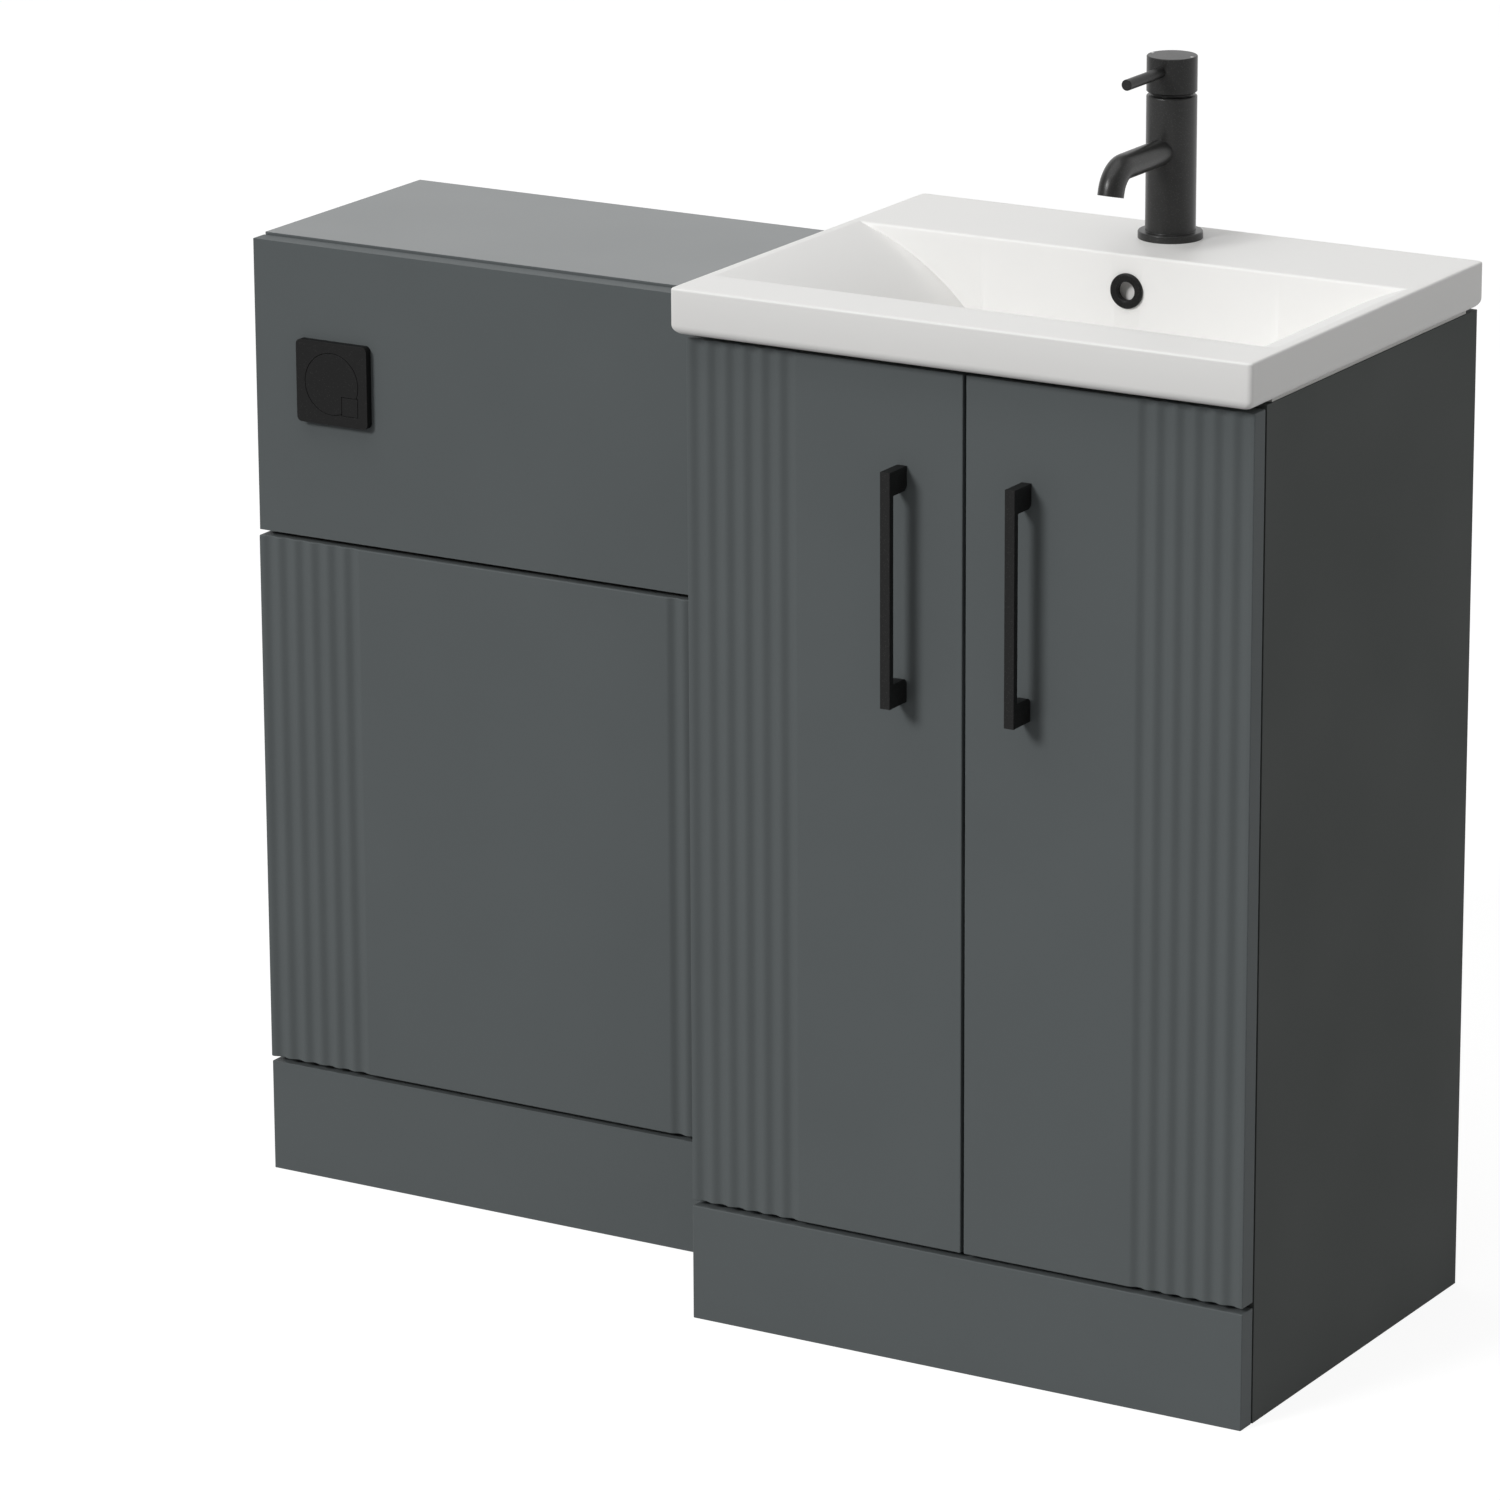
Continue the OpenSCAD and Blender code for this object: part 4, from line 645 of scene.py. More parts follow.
def fluted_board_recipe():
    """A board with a band of round grooves down its front, along its left edge, its right edge or both."""
    tree, given, ids = geometry_tree(
        "fluted board",
        [
            ("Width", "Float", 0.5), ("Height", "Float", 0.5), ("Thickness", "Float", 0.018),
            ("Margin", "Float", 0.0022), ("Pitch", "Float", 0.0164), ("Depth", "Float", 0.0024),
            ("Grooves", "Int", 6), ("Left", "Float", 1.0), ("Right", "Float", 1.0),
            ("Columns", "Int", 700), ("Corner", "Vector", (0, 0, 0)), ("Material", "Material", None),
        ],
    )
    width, margin, columns = given["Width"], given["Margin"], given["Columns"]
    sides = {0: width, 1: given["Thickness"], 2: given["Height"]}
    cube = {
        "Size": put(tree, "ShaderNodeCombineXYZ", sides).outputs[0],
        "Vertices X": columns, "Vertices Y": 2, "Vertices Z": 2,
    }
    board = put(tree, "GeometryNodeMeshCube", cube).outputs["Mesh"]
    old = put(tree, "ShaderNodeSeparateXYZ", {0: put(tree, "GeometryNodeInputPosition").outputs[0]}).outputs
    # The columns of points: the first and the last stay on the edges, the others share the width in between.
    place_in = calc(tree, "ADD", calc(tree, "DIVIDE", old[0], width), 0.5)
    column = times(tree, place_in, minus(tree, columns, 1.0))
    inner_w = calc(tree, "MULTIPLY_ADD", margin, -2.0, width)
    share = calc(tree, "DIVIDE", minus(tree, column, 1.0), minus(tree, columns, 3.0))
    inner = calc(tree, "MULTIPLY_ADD", share, inner_w, margin)
    first = calc(tree, "LESS_THAN", column, 0.5)
    last = calc(tree, "GREATER_THAN", column, minus(tree, columns, 1.5))
    middle = minus(tree, minus(tree, 1.0, first), last)
    x = calc(tree, "ADD", times(tree, inner, middle), times(tree, width, last))
    band = times(tree, given["Grooves"], given["Pitch"])
    from_left = minus(tree, x, margin)
    from_right = minus(tree, inner_w, from_left)
    depth = 0.0
    for start, on in ((from_left, given["Left"]), (from_right, given["Right"])):
        past, before = calc(tree, "GREATER_THAN", start, 0.0), calc(tree, "LESS_THAN", start, band)
        inside = times(tree, past, before)
        turns = times(tree, calc(tree, "DIVIDE", start, given["Pitch"]), 2 * pi)
        wave = minus(tree, 1.0, calc(tree, "COSINE", turns))
        cut = times(tree, wave, times(tree, given["Depth"], 0.5))
        depth = calc(tree, "MULTIPLY_ADD", cut, times(tree, inside, on), depth)
    front = calc(tree, "LESS_THAN", old[1], 0.0)
    back = minus(tree, 1.0, front)
    rear = times(tree, given["Thickness"], back)
    y = calc(tree, "ADD", times(tree, depth, front), rear)
    z = calc(tree, "MULTIPLY_ADD", given["Height"], 0.5, old[2])
    spot = put(tree, "ShaderNodeCombineXYZ", {0: x, 1: y, 2: z}).outputs[0]
    spot = put(tree, "ShaderNodeVectorMath", {0: spot, 1: given["Corner"]}, operation="ADD").outputs[0]
    shaped = put(tree, "GeometryNodeSetPosition", {"Geometry": board, "Position": spot}).outputs[0]
    end_tree(tree, shaped, given["Material"])
    return tree, ids


SCREW_SIDES = 20


def screw_recipe():
    """Pan-head screws with a cross recess on points, all facing one way."""
    tree, given, ids = geometry_tree(
        "screw heads",
        [
            ("Points", "Geometry", None), ("Radius", "Float", 0.004), ("Height", "Float", 0.002),
            ("Facing", "Vector", (0, 0, 1)), ("Material", "Material", None),
        ],
    )
    radius, height = given["Radius"], given["Height"]
    half = times(tree, height, 0.5)
    rim = {"Vertices": SCREW_SIDES, "Radius": radius, "Depth": half}
    rim = put(tree, "GeometryNodeMeshCylinder", rim).outputs["Mesh"]
    rim = shift(tree, rim, times(tree, height, 0.25))
    crown = {
        "Vertices": SCREW_SIDES, "Radius Top": times(tree, radius, 0.72), "Radius Bottom": radius,
        "Depth": half,
    }
    crown = put(tree, "GeometryNodeMeshCone", crown).outputs["Mesh"]
    crown = shift(tree, crown, times(tree, height, 0.499))
    head = tree.nodes.new("GeometryNodeMeshBoolean")
    head.operation = "UNION"
    tree.links.new(rim, head.inputs["Mesh 2"])
    tree.links.new(crown, head.inputs["Mesh 2"])
    slots = []
    for long, short in ((1.15, 0.26), (0.26, 1.15)):
        sides = {0: times(tree, radius, long), 1: times(tree, radius, short), 2: height}
        size = put(tree, "ShaderNodeCombineXYZ", sides).outputs[0]
        slots.append(shift(tree, put(tree, "GeometryNodeMeshCube", {"Size": size}).outputs["Mesh"], height))
    recess = tree.nodes.new("GeometryNodeMeshBoolean")
    recess.operation = "DIFFERENCE"
    tree.links.new(head.outputs[0], recess.inputs["Mesh 1"])
    for bar in slots:
        tree.links.new(bar, recess.inputs["Mesh 2"])
    points = put(tree, "GeometryNodeMeshToPoints", {"Mesh": given["Points"]}).outputs[0]
    turn = put(tree, "FunctionNodeAlignRotationToVector", {"Vector": given["Facing"]}, axis="Z").outputs[0]
    spread = {"Points": points, "Instance": recess.outputs[0], "Rotation": turn}
    spread = put(tree, "GeometryNodeInstanceOnPoints", spread).outputs[0]
    end_tree(tree, spread, given["Material"])
    return tree, ids


RIB_SIDES = 10


def rib_recipe():
    """Grip ribs round a nut: half-sunk bars on a circle, turned and placed."""
    tree, given, ids = geometry_tree(
        "grip ribs",
        [
            ("Radius", "Float", 0.03), ("Length", "Float", 0.02), ("Ribs", "Int", 24),
            ("Rib radius", "Float", 0.0012), ("Centre", "Vector", (0, 0, 0)),
            ("Facing", "Vector", (0, 0, 1)), ("Material", "Material", None),
        ],
    )
    circle = {"Vertices": given["Ribs"], "Radius": given["Radius"]}
    circle = put(tree, "GeometryNodeMeshCircle", circle).outputs[0]
    bar = {"Vertices": RIB_SIDES, "Radius": given["Rib radius"], "Depth": given["Length"]}
    bar = put(tree, "GeometryNodeMeshCylinder", bar).outputs["Mesh"]
    ribs = put(tree, "GeometryNodeInstanceOnPoints", {"Points": circle, "Instance": bar}).outputs[0]
    turn = put(tree, "FunctionNodeAlignRotationToVector", {"Vector": given["Facing"]}, axis="Z").outputs[0]
    real = put(tree, "GeometryNodeRealizeInstances", {"Geometry": ribs}).outputs[0]
    placed = {"Geometry": real, "Rotation": turn, "Translation": given["Centre"]}
    placed = put(tree, "GeometryNodeTransform", placed).outputs[0]
    end_tree(tree, placed, given["Material"])
    return tree, ids


FLUTED_BOARD = fluted_board_recipe()
SCREWS = screw_recipe()
RIBS = rib_recipe()


# ---------- cabinets ----------

X_JOIN, X_MID, X_END = -2.5, 247.5, 497.5  # the basin unit's left edge, middle and right edge, in mm
Y_DOOR_BACK = -160.0
CUP_IN, CUP_R, CUP_DEPTH = 22.5, 17.6, 12.5  # a hinge cup's axis in from the door's outer edge, its hole
HINGE_Z = (191.5, 728.0)
HANDLE_IN = 195.0
HANDLE_SCREW_Z = (559.45, 729.95)
ENDS = (-1, 1)


def fluted_front(node, left, right, columns):
    """A finely grooved board in place of a CAD board, with its bands of grooves on (1) or off (0)."""
    lo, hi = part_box(node)
    board = grow(
        FLUTED_BOARD,
        node + "_finished",
        {
            "Width": hi.x - lo.x, "Height": hi.z - lo.z, "Thickness": hi.y - lo.y, "Left": left,
            "Right": right, "Columns": columns, "Corner": lo, "Material": FINISH["cabinet"],
        },
    )
    round_edges(board, 1.0 * MM, 3, 40.0)
    return settle(board)


def add_screws(name, body, radius, height, facing, places):
    """Steel screw heads on a body, in mm."""
    values = {"Radius": radius * MM, "Height": height * MM, "Facing": facing, "Material": FINISH["steel"]}
    place(grow(SCREWS, name, values, places), body, "steel")


for node in ("wc_fascia", "wc_plinth", "van_base", "van_shelf", "van_plinth"):
    soften(node, 0.9)
# The side panels take the darker copy of the paint, as painted shade.
for node in ("wc_left_side", "wc_right_side", "van_left_side", "van_right_side"):
    soften(node, 0.6, finish=SHADED_SIDE_FINISH)
soften("wc_worktop", 0.9, finish=TOP_FINISH)
for node in ("wc_front_rails", "wc_rear_rails", "van_rails", "plinth_blocks"):
    soften(node, 0.5, 2)

panel = fluted_front("wc_lower_panel", 1.0, 1.0, 860)
place(panel, "cabinet", "cabinet", "wc_lower_panel")

for side, edge, way in (("left", X_JOIN, 1), ("right", X_END, -1)):
    body = "door_" + side
    door = fluted_front(side + "_door", float(way > 0), float(way < 0), 430)
    x_cup, y_cup = edge + way * CUP_IN, Y_DOOR_BACK - CUP_DEPTH
    carve(door, [drum("cup_hole", CUP_R, 0, 20, (x_cup, y_cup, z), "Y") for z in HINGE_Z])
    smooth(door.data)
    place(door, body, "cabinet", side + "_door")
    soften(side + "_handle", 0.35, 3)
    soften(side + "_hinge_cups", 0.35, 2)
    soften(side + "_hinge_plates", 0.6, 2)
    soften(side + "_handle_screws", 0.3, 2)

    inwards, rearwards = (way, 0, 0), (0, 1, 0)
    places = [(x_cup, Y_DOOR_BACK + 1.2, z + 22 * end) for z in HINGE_Z for end in ENDS]
    add_screws(side + "_cup_screws", body, 3.6, 2.0, rearwards, places)
    places = [(edge + way * 20, Y_DOOR_BACK + 44, z + 17 * end) for z in HINGE_Z for end in ENDS]
    add_screws(side + "_plate_screws", "cabinet", 3.8, 2.2, inwards, places)
    places = [(edge + way * 30, Y_DOOR_BACK + y, z) for z in HINGE_Z for y in (18, 50)]
    add_screws(side + "_arm_screws", "cabinet", 3.4, 1.6, inwards, places)
    places = [(edge + way * HANDLE_IN, Y_DOOR_BACK + 2.2, z) for z in HANDLE_SCREW_Z]
    add_screws(side + "_handle_screw_heads", body, 4.0, 1.4, rearwards, places)


# ---------- flush plate and cistern ----------

soften("flush_plate", 0.6, 3)
soften("full_flush_button", 0.25, 2)
soften("half_flush_button", 0.25, 2)
for node in (
    "button_housing", "button_nut", "cistern_tank", "cistern_lid", "fill_valve", "fill_valve_nut",
    "fill_float", "flush_valve_body", "flush_valve_core", "flush_pipe", "flush_pipe_nut",
):
    soften(node, 0.6, 2)
for node in (
    "cistern_screws", "shelf_pins", "tap_fixing", "basin_seal", "bottle_trap", "trap_pipe",
    "waste_nut", "air_tubes", "worktop_pegs", "wc_panel_studs", "door_bumpers",
):
    soften(node, 0.3, 2)
for label, radius, length, ribs, centre, facing in (
    ("trap_nut_ribs", 27.0, 21.0, 30, (X_MID, 0.0, 682.6), (0, 0, 1)),
    ("outlet_nut_ribs", 22.0, 17.0, 26, (X_MID, 39.5, 633.6), (0, 1, 0)),
    ("flush_nut_ribs", 35.0, 22.0, 36, (-252.5, 120.0, 411.5), (0, 0, 1)),
):
    values = {
        "Radius": radius * MM, "Length": length * MM, "Ribs": ribs, "Rib radius": 1.3 * MM,
        "Centre": Vector(centre) * MM, "Facing": facing, "Material": FINISH["white_plastic"],
    }
    place(grow(RIBS, label, values), "cabinet", "white_plastic")


# ---------- basin ----------
# All in mm, and the angles in degrees.

BASIN_X, BASIN_Y = (-7.5, 502.5), (-194.4, 205.0)
RIM_LOW, RIM_TOP = 823.0, 860.5
BASIN_W, BASIN_D = BASIN_X[1] - BASIN_X[0], BASIN_Y[1] - BASIN_Y[0]
FLOOR_DEPTH, FLOOR_SLOPE, FLOOR_ROUND = 101.0, 2.0, 25.0
LEDGE, LEDGE_ROUND = 117.0, 2.5  # from the back edge to the bowl's back wall, its rounding
SIDE_WALL = (8.5, 225.0, 16.5, 56.0)  # where it starts, radius, angle at the start and at the end
FRONT_WALL = (49.4, 40.0, 0.0, 75.0)
BACK_WALL = (LEDGE, LEDGE_ROUND, 0.0, 90.0)
WALL, DECK, SKIRT = 9.0, 13.0, 16.0  # thicknesses of the bowl and the deck, rim's width below
GRID_IN = 6.0  # from the edge to the first line of the grid
CREASE = 5.0  # rounding where two walls of the bowl meet
CORNER_R, TOP_ROUND, LOW_ROUND = 4.0, 2.0, 8.0
BEYOND = 200.0


def wall_line(start, r, a0, a1, out):
    """Distance in from the rim and depth along one wall of the bowl, moved out by a thickness."""
    rad = np.radians
    s1 = start + r * (sin(rad(a1)) - sin(rad(a0)))
    d1 = r * (cos(rad(a0)) - cos(rad(a1)))
    d2 = FLOOR_DEPTH - FLOOR_ROUND * (cos(rad(FLOOR_SLOPE)) - cos(rad(a1)))
    s2 = s1 if a1 > 89 else s1 + (d2 - d1) / tan(rad(a1))
    top = rad(np.linspace(a0, a1, 40))
    low = rad(np.linspace(a1, FLOOR_SLOPE, 40))
    s_low = s2 + FLOOR_ROUND * (sin(rad(a1)) - np.sin(low))
    d_low = d2 + FLOOR_ROUND * (np.cos(low) - cos(rad(a1)))
    s = np.concatenate([start + r * (np.sin(top) - sin(rad(a0))), s_low])
    d = np.concatenate([r * (cos(rad(a0)) - np.cos(top)), d_low])
    a = np.concatenate([top, low])
    s, d = s - out * np.sin(a), d + out * np.cos(a)
    s = np.maximum.accumulate(s + np.arange(len(s)) * 1e-3)
    return np.append(s, s[-1] + BEYOND), np.append(d, d[-1] + BEYOND * tan(rad(FLOOR_SLOPE)))


def depth_at(line, s):
    """Depth of a wall's line at distances in from the rim."""
    return np.interp(s, line[0], line[1], left=0.0)


def bowl_depth(x, y, out=0.0):
    """Depth of the bowl below the rim, at x and y from the basin's front left corner."""
    side = depth_at(wall_line(*SIDE_WALL, out), np.minimum(x, BASIN_W - x))
    front = depth_at(wall_line(*FRONT_WALL, out), y)
    back = depth_at(wall_line(*BACK_WALL, out), BASIN_D - y)
    a, b = side, np.minimum(front, back)
    k = np.minimum(CREASE, 0.6 * np.minimum(a, b)) + 1e-9
    h = np.maximum(k - np.abs(a - b), 0.0) / k
    return np.minimum(a, b) - h * h * k / 4


def lines_between(stops):
    """Grid lines from (place, spacing to the next place) stops."""
    out = []
    for (a, gap), following in zip(stops, stops[1:]):
        b = following[0]
        n = max(1, round((b - a) / gap))
        out += list(a + (b - a) * np.arange(n) / n)
    return np.array(out + [stops[-1][0]])


def ring_of(grid):
    """The outline of a grid of indices, once round."""
    return np.concatenate([grid[:, 0], grid[-1, 1:], grid[-2::-1, -1], grid[0, -2:0:-1]])


def basin_shell():
    """The basin without its holes: a grid over the bowl, a coarser rim, and the same grid underneath."""
    left = lines_between([(GRID_IN, 1.0), (10, 0.7), (12, 2.8), (128, 1.6), (152, 5.0), (BASIN_W / 2, 5.0)])
    xs = np.concatenate([left, BASIN_W - left[-2::-1]])
    deep = BASIN_D
    ys = lines_between(
        [
            (GRID_IN, 1.0), (10, 6.0), (48, 0.8), (56, 2.0), (128, 5.0), (deep - 148, 1.8),
            (deep - 120.2, 0.35), (deep - 116.4, 2.8), (deep - 111.2, 0.35), (deep - 109.8, 5.0),
            (deep - 10, 1.0), (deep - GRID_IN, 1.0),
        ]
    )
    nx, ny = len(xs), len(ys)
    gx, gy = np.meshgrid(xs, ys, indexing="ij")
    top = np.stack([gx, gy, -bowl_depth(gx, gy)], -1).reshape(-1, 3)
    u, v = (gx - GRID_IN) / (BASIN_W - 2 * GRID_IN), (gy - GRID_IN) / (BASIN_D - 2 * GRID_IN)
    lx, ly = SKIRT + u * (BASIN_W - 2 * SKIRT), SKIRT + v * (BASIN_D - 2 * SKIRT)
    under = np.stack([lx, ly, -np.maximum(DECK, bowl_depth(lx, ly, WALL))], -1).reshape(-1, 3)
    points = [top, under]
    cell = np.arange(nx * ny).reshape(nx, ny)
    a, b, c, d = cell[:-1, :-1], cell[1:, :-1], cell[1:, 1:], cell[:-1, 1:]
    faces = np.stack([a, b, c, d], -1).reshape(-1, 4)
    faces = np.concatenate([faces, faces[:, ::-1] + nx * ny])

    edge_u, edge_v = ring_of(u), ring_of(v)
    near_x = np.minimum(ring_of(gx) - GRID_IN, BASIN_W - GRID_IN - ring_of(gx))
    near_y = np.minimum(ring_of(gy) - GRID_IN, BASIN_D - GRID_IN - ring_of(gy))

    def outline(inset, corner, z):
        """The grid's outline moved to a rounded rectangle at an inset and height."""
        px, py = inset + edge_u * (BASIN_W - 2 * inset), inset + edge_v * (BASIN_D - 2 * inset)
        if corner:
            along_x = near_y < 1e-6
            reach = np.where(along_x, near_x, near_y)
            turn = np.radians(45 + 45 * np.clip(reach / CORNER_R, 0, 1))
            c, s = np.cos(turn), np.sin(turn)
            ox = np.where(along_x, corner * (1 - c), corner * (1 - s))
            oy = np.where(along_x, corner * (1 - s), corner * (1 - c))
            inside = reach < CORNER_R - 1e-6
            px = np.where(inside, np.where(edge_u < 0.5, inset + ox, BASIN_W - inset - ox), px)
            py = np.where(inside, np.where(edge_v < 0.5, inset + oy, BASIN_D - inset - oy), py)
        return np.stack([px, py, np.full_like(px, z)], -1)

    drop = RIM_TOP - RIM_LOW
    rings = []
    for a in np.radians(np.linspace(90, 0, 6)):
        inset, z = TOP_ROUND - TOP_ROUND * cos(a), -(TOP_ROUND - TOP_ROUND * sin(a))
        rings.append(outline(inset, CORNER_R - 1.0 * (1 - cos(a)), z))
    for a in np.radians(np.linspace(0, 90, 9)):
        inset, z = LOW_ROUND - LOW_ROUND * cos(a), -(drop - LOW_ROUND + LOW_ROUND * sin(a))
        rings.append(outline(inset, CORNER_R, z))
    rings.append(outline(SKIRT, 0.0, -drop))
    n = len(rings[0])
    base = 2 * nx * ny
    loops = [ring_of(cell)]
    loops += [base + i * n + np.arange(n) for i in range(len(rings))]
    loops.append(ring_of(cell) + nx * ny)
    for upper, lower in zip(loops, loops[1:]):
        strip = np.stack([upper, lower, np.roll(lower, -1), np.roll(upper, -1)], -1)
        faces = np.concatenate([faces, strip])
    points = np.concatenate(points + rings) + np.array([BASIN_X[0], BASIN_Y[0], RIM_TOP])
    return new_object("basin_finished", mesh_of("basin", points * MM, faces.tolist(), 50.0))


Y_WASTE, Z_SEAT, Z_BOSS = 0.0, 755.593, 731.593
Y_BOWL_BACK, Z_OVERFLOW = 85.5, 831.0  # the bowl's back wall, the axis of the overflow hole
Y_TAP = 158.0
FLOOR_Z = RIM_TOP - FLOOR_DEPTH
Y_DUCT = Y_BOWL_BACK + WALL + 10.0  # the back of the overflow duct's bore
DUCT_OUT, DUCT_IN = (X_MID - 25, X_MID + 25), (X_MID - 18, X_MID + 18)
AT_WASTE = (X_MID, Y_WASTE, 0)

basin = basin_shell()
boss = [(0, Z_BOSS, 0), (38, Z_BOSS, 3), (38, FLOOR_Z - 3, 0), (0, FLOOR_Z - 3, 0)]
carve(
    basin,
    [
        turned("boss", boss, AT_WASTE),
        block("duct_back", DUCT_OUT, (Y_DUCT - 12, Y_DUCT + 7), (Z_BOSS, RIM_TOP - DECK + 1)),
        block("duct_floor", DUCT_OUT, (Y_WASTE, Y_DUCT + 7), (Z_BOSS, FLOOR_Z - 4)),
    ],
    "UNION",
)
slot_z = (Z_OVERFLOW - 14.3, Z_OVERFLOW - 8.8)
carve(
    basin,
    [
        block("duct_bore", DUCT_IN, (Y_DUCT - 10, Y_DUCT), (Z_BOSS + 3, Z_OVERFLOW + 14.5)),
        block("duct_run", DUCT_IN, (Y_WASTE, Y_DUCT - 1), (Z_BOSS + 3, Z_BOSS + 13)),
        drum("seat", 33, Z_SEAT, Z_SEAT + 30, AT_WASTE),
        drum("waste_hole", 22, Z_BOSS - 5, Z_SEAT + 5, AT_WASTE),
        drum("overflow_pocket", 10.5, -4, 5.5, (X_MID, Y_BOWL_BACK, Z_OVERFLOW), "Y"),
        block("overflow_slot", (X_MID - 6, X_MID + 6), (Y_BOWL_BACK + 3, Y_DUCT - 9), slot_z),
        drum("tap_hole", 17.5, -20, 5, (X_MID, Y_TAP, RIM_TOP)),
    ],
)
smooth(basin.data, 50.0)
place(basin, "cabinet", "ceramic", "basin")

ring = turned_ring(
    "overflow_ring_finished",
    [(7.6, 0, 1.2), (14.3, 0, 1.4), (14.3, 3, 0.2), (10.4, 3, 0), (10.4, 5, 0.3), (7.6, 5, 0.3)],
    (X_MID, Y_BOWL_BACK - 3.0, Z_OVERFLOW),
    "Y",
)
place(ring, "cabinet", "matt_black_metal", "overflow_ring")
soften("waste_body", 0.4, 2)
plug = turned(
    "waste_plug_finished",
    [
        (0, -46.8, 0), (3, -46.8, 0.4), (3, 0, 0), (28.5, 0, 0), (30, 1.5, 0.4), (30, 3.2, 1.0),
        (26.5, 4.9, 3.0), (13, 5.9, 8.0), (0, 6, 0),
    ],
    (X_MID, Y_WASTE, Z_SEAT + 2.8),
)
place(plug, "plug", "matt_black_metal", "waste_plug")


# ---------- tap ----------

TAP = (X_MID, Y_TAP, RIM_TOP)
COLUMN_TOP, NECK_TOP, HEAD_TOP = 116.2, 118.0, 148.2
BEND, REACH, SPOUT_Z, SPOUT_R = 22.0, 79.5, 72.5, 10.6  # the spout's bend starts at the reach
SPOUT_TURN = 75.0  # the spout's mouth looks down by this
DIP = radians(SPOUT_TURN)
MOUTH_LENGTH = 4.0


def along_spout(end, distance):
    """A station further along the spout's straight mouth, back from its end."""
    return end[0] + distance * cos(DIP), end[1] + distance * sin(DIP), -DIP


column = turned(
    "tap_body_finished",
    [
        (0, 0, 0), (26.2, 0, 0), (26.2, 6, 1.1), (20.4, 6, 0.5), (20.4, COLUMN_TOP, 1.2),
        (15, COLUMN_TOP, 0), (15, NECK_TOP, 0.2), (0, NECK_TOP, 0),
    ],
    TAP,
    sides=128,
)
stations = [(Y_TAP - 2, RIM_TOP + SPOUT_Z, 0.0), (Y_TAP - REACH, RIM_TOP + SPOUT_Z, 0.0)]
for a in np.radians(np.linspace(5, SPOUT_TURN, 18)):
    stations.append((Y_TAP - REACH - BEND * sin(a), RIM_TOP + SPOUT_Z - BEND + BEND * cos(a), -a))
stations.append(along_spout(stations[-1], -MOUTH_LENGTH))
mouth = stations[-1]
spout = swept("spout", X_MID, stations, SPOUT_R)
bore = swept("spout_bore", X_MID, [along_spout(mouth, 9), along_spout(mouth, -2)], SPOUT_R - 2.4)
stem_hole = drum("stem_hole", 6.05, 104, 120, TAP)
carve(column, [spout], "UNION")
carve(column, [bore, stem_hole])
smooth(column.data, 35.0)
round_edges(column, 0.25 * MM, 2, 35.0)
# The body takes the lighter copy of the coat: painted reflection of the basin.
place(column, "cabinet", "matt_black_metal", "tap_body", finish=BASIN_LIT_TAP_FINISH)
soften("tap_head", 0.35, 3, finish=HEAD_FINISH)
soften("tap_lever", 0.5, 3, finish=HEAD_FINISH)
soften("tap_aerator", 0.2, 2)
for side, way in (("left", -1), ("right", 1)):
    dot = turned(
        side + "_head_dot",
        [(0, -0.6, 0), (1.3, -0.6, 0), (1.3, 0.15, 0.1), (0, 0.18, 0)],
        (X_MID + way * 17.6, Y_TAP, RIM_TOP + HEAD_TOP),
        sides=24,
    )
    place(dot, "tap_handle", "white_plastic", finish=PALE_DOT)


# ---------- floor, light and camera ----------

WHITE = (1.0, 1.0, 1.0, 1.0)
AMBIENT = 0.24  # the backdrop as a light; the camera sees it as white
FLOOR_GLOW = 0.88  # what the camera sees of the floor before any lamp
FLOOR_LIT, FLOOR_BOUNCE = 0.25, 0.36  # how pale it is to the camera, and to bounced light
FLOOR_MIRRORED = 0.95  # share of the white floor in reflections
FLOOR_REACH = 30.0
MIDDLE = Vector((0.0, 0.0, 0.45))  # where the lamps look


def make_floor():
    """A wide pale floor: white to the camera, a duller white to the light that bounces off it."""
    mesh = bpy.data.meshes.new("floor")
    r = FLOOR_REACH
    mesh.from_pydata([(-r, -r, 0), (r, -r, 0), (r, r, 0), (-r, r, 0)], [], [(0, 1, 2, 3)])
    floor = new_object("floor", mesh)
    material = bpy.data.materials.new("pale floor")
    material.use_nodes = True
    tree = material.node_tree
    tree.nodes.clear()
    path = tree.nodes.new("ShaderNodeLightPath")
    glow = put(tree, "ShaderNodeEmission", {"Color": WHITE, "Strength": FLOOR_GLOW}).outputs[0]
    lit = put(tree, "ShaderNodeBsdfDiffuse", {"Color": shade(WHITE[:3], FLOOR_LIT)}).outputs[0]
    seen = put(tree, "ShaderNodeAddShader", {0: glow, 1: lit}).outputs[0]
    bounce = put(tree, "ShaderNodeBsdfDiffuse", {"Color": shade(WHITE[:3], FLOOR_BOUNCE)}).outputs[0]
    mirrored = times(tree, path.outputs["Is Glossy Ray"], FLOOR_MIRRORED)
    direct = calc(tree, "MAXIMUM", path.outputs["Is Camera Ray"], mirrored)
    shown = put(tree, "ShaderNodeMixShader", {0: direct, 1: bounce, 2: seen}).outputs[0]
    out = tree.nodes.new("ShaderNodeOutputMaterial")
    tree.links.new(shown, out.inputs["Surface"])
    mesh.materials.append(material)


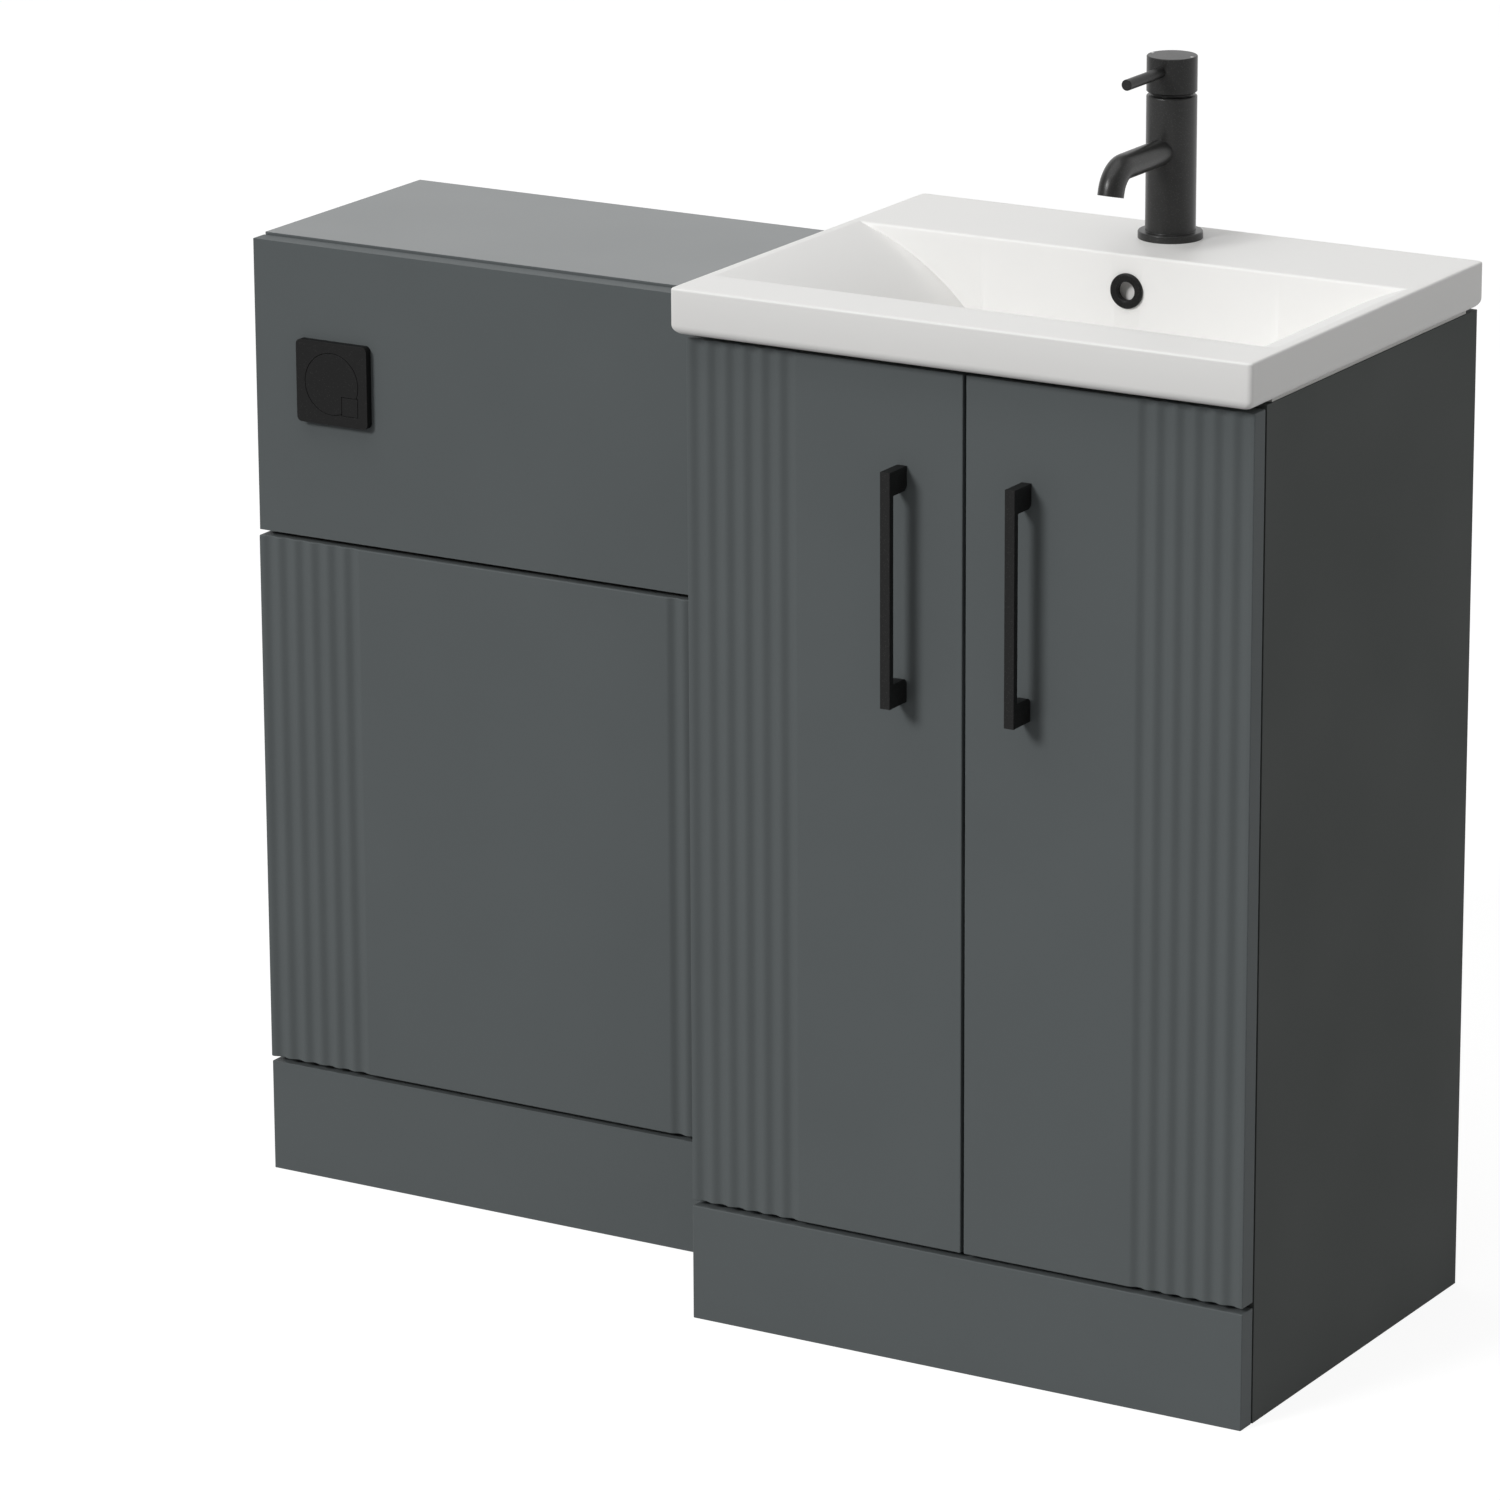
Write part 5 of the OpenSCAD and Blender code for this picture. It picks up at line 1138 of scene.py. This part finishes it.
def make_world():
    """A backdrop that is white to the camera and low behind the part in reflections, and dim as a light."""
    world = bpy.data.worlds.new("studio")
    bpy.context.scene.world = world
    world.use_nodes = True
    tree = world.node_tree
    path = tree.nodes.new("ShaderNodeLightPath")
    way = put(tree, "ShaderNodeTexCoord").outputs["Generated"]
    along = put(tree, "ShaderNodeSeparateXYZ", {0: way})
    behind = ramp(tree, along.outputs["Y"], -0.3, 0.4)
    low = ramp(tree, along.outputs["Z"], 0.8, 0.5)
    mirrored = times(tree, path.outputs["Is Glossy Ray"], times(tree, behind, low))
    direct = calc(tree, "MAXIMUM", path.outputs["Is Camera Ray"], mirrored)
    direct = calc(tree, "MAXIMUM", direct, path.outputs["Is Transmission Ray"])
    level = calc(tree, "MULTIPLY_ADD", direct, 1.0 - AMBIENT, AMBIENT)
    sky = tree.nodes["Background"]
    sky.inputs["Color"].default_value = WHITE
    tree.links.new(level, sky.inputs["Strength"])


def lamp_from(name, kind, way, distance):
    """A lamp that looks at the middle of the part from a direction."""
    lamp = bpy.data.objects.new(name, bpy.data.lights.new(name, kind))
    bpy.context.scene.collection.objects.link(lamp)
    aim = Vector(way).normalized()
    lamp.location = MIDDLE + aim * distance
    lamp.rotation_euler = aim.to_track_quat("Z", "Y").to_euler()
    return lamp


def soft_lamp(name, way, distance, size, level):
    """A square area lamp; the level is the same for any distance."""
    lamp = lamp_from(name, "AREA", way, distance)
    lamp.data.shape = "SQUARE"
    lamp.data.size = size
    lamp.data.energy = level * pi * pi * distance ** 2
    return lamp


make_floor()
make_world()
key = lamp_from("key", "SUN", (-0.33, -0.80, 0.50), 6.0).data
key.energy = pi * 0.53
key.angle = radians(16)
soft_lamp("overhead", (-0.05, -0.10, 1.0), 3.2, 3.0, 0.42)
soft_lamp("side fill", (1.0, 0.15, 0.1), 3.0, 1.6, 0.10).visible_glossy = False

# The camera that was fitted to the photo, without its lens shift.
CAMERA_AT = (3.0444, -5.1597, 2.2078)
AZIMUTH, ELEVATION, ROLL = radians(30.975), radians(16.474), radians(-0.295)
LENS_MM, SENSOR_MM = 183.8, 36.0
forward = Vector((-sin(AZIMUTH) * cos(ELEVATION), cos(AZIMUTH) * cos(ELEVATION), -sin(ELEVATION)))
level_right = forward.cross(Vector((0, 0, 1))).normalized()
level_up = level_right.cross(forward)
right = level_right * cos(ROLL) + level_up * sin(ROLL)
up = level_up * cos(ROLL) - level_right * sin(ROLL)
camera_data = bpy.data.cameras.new("camera")
camera_data.lens = LENS_MM
camera_data.sensor_width = SENSOR_MM
camera_data.clip_end = 100.0
camera = bpy.data.objects.new("camera", camera_data)
bpy.context.scene.collection.objects.link(camera)
camera.matrix_world = Matrix.Translation(CAMERA_AT) @ Matrix((right, up, -forward)).transposed().to_4x4()
bpy.context.scene.camera = camera
bpy.context.scene.view_settings.view_transform = "Standard"
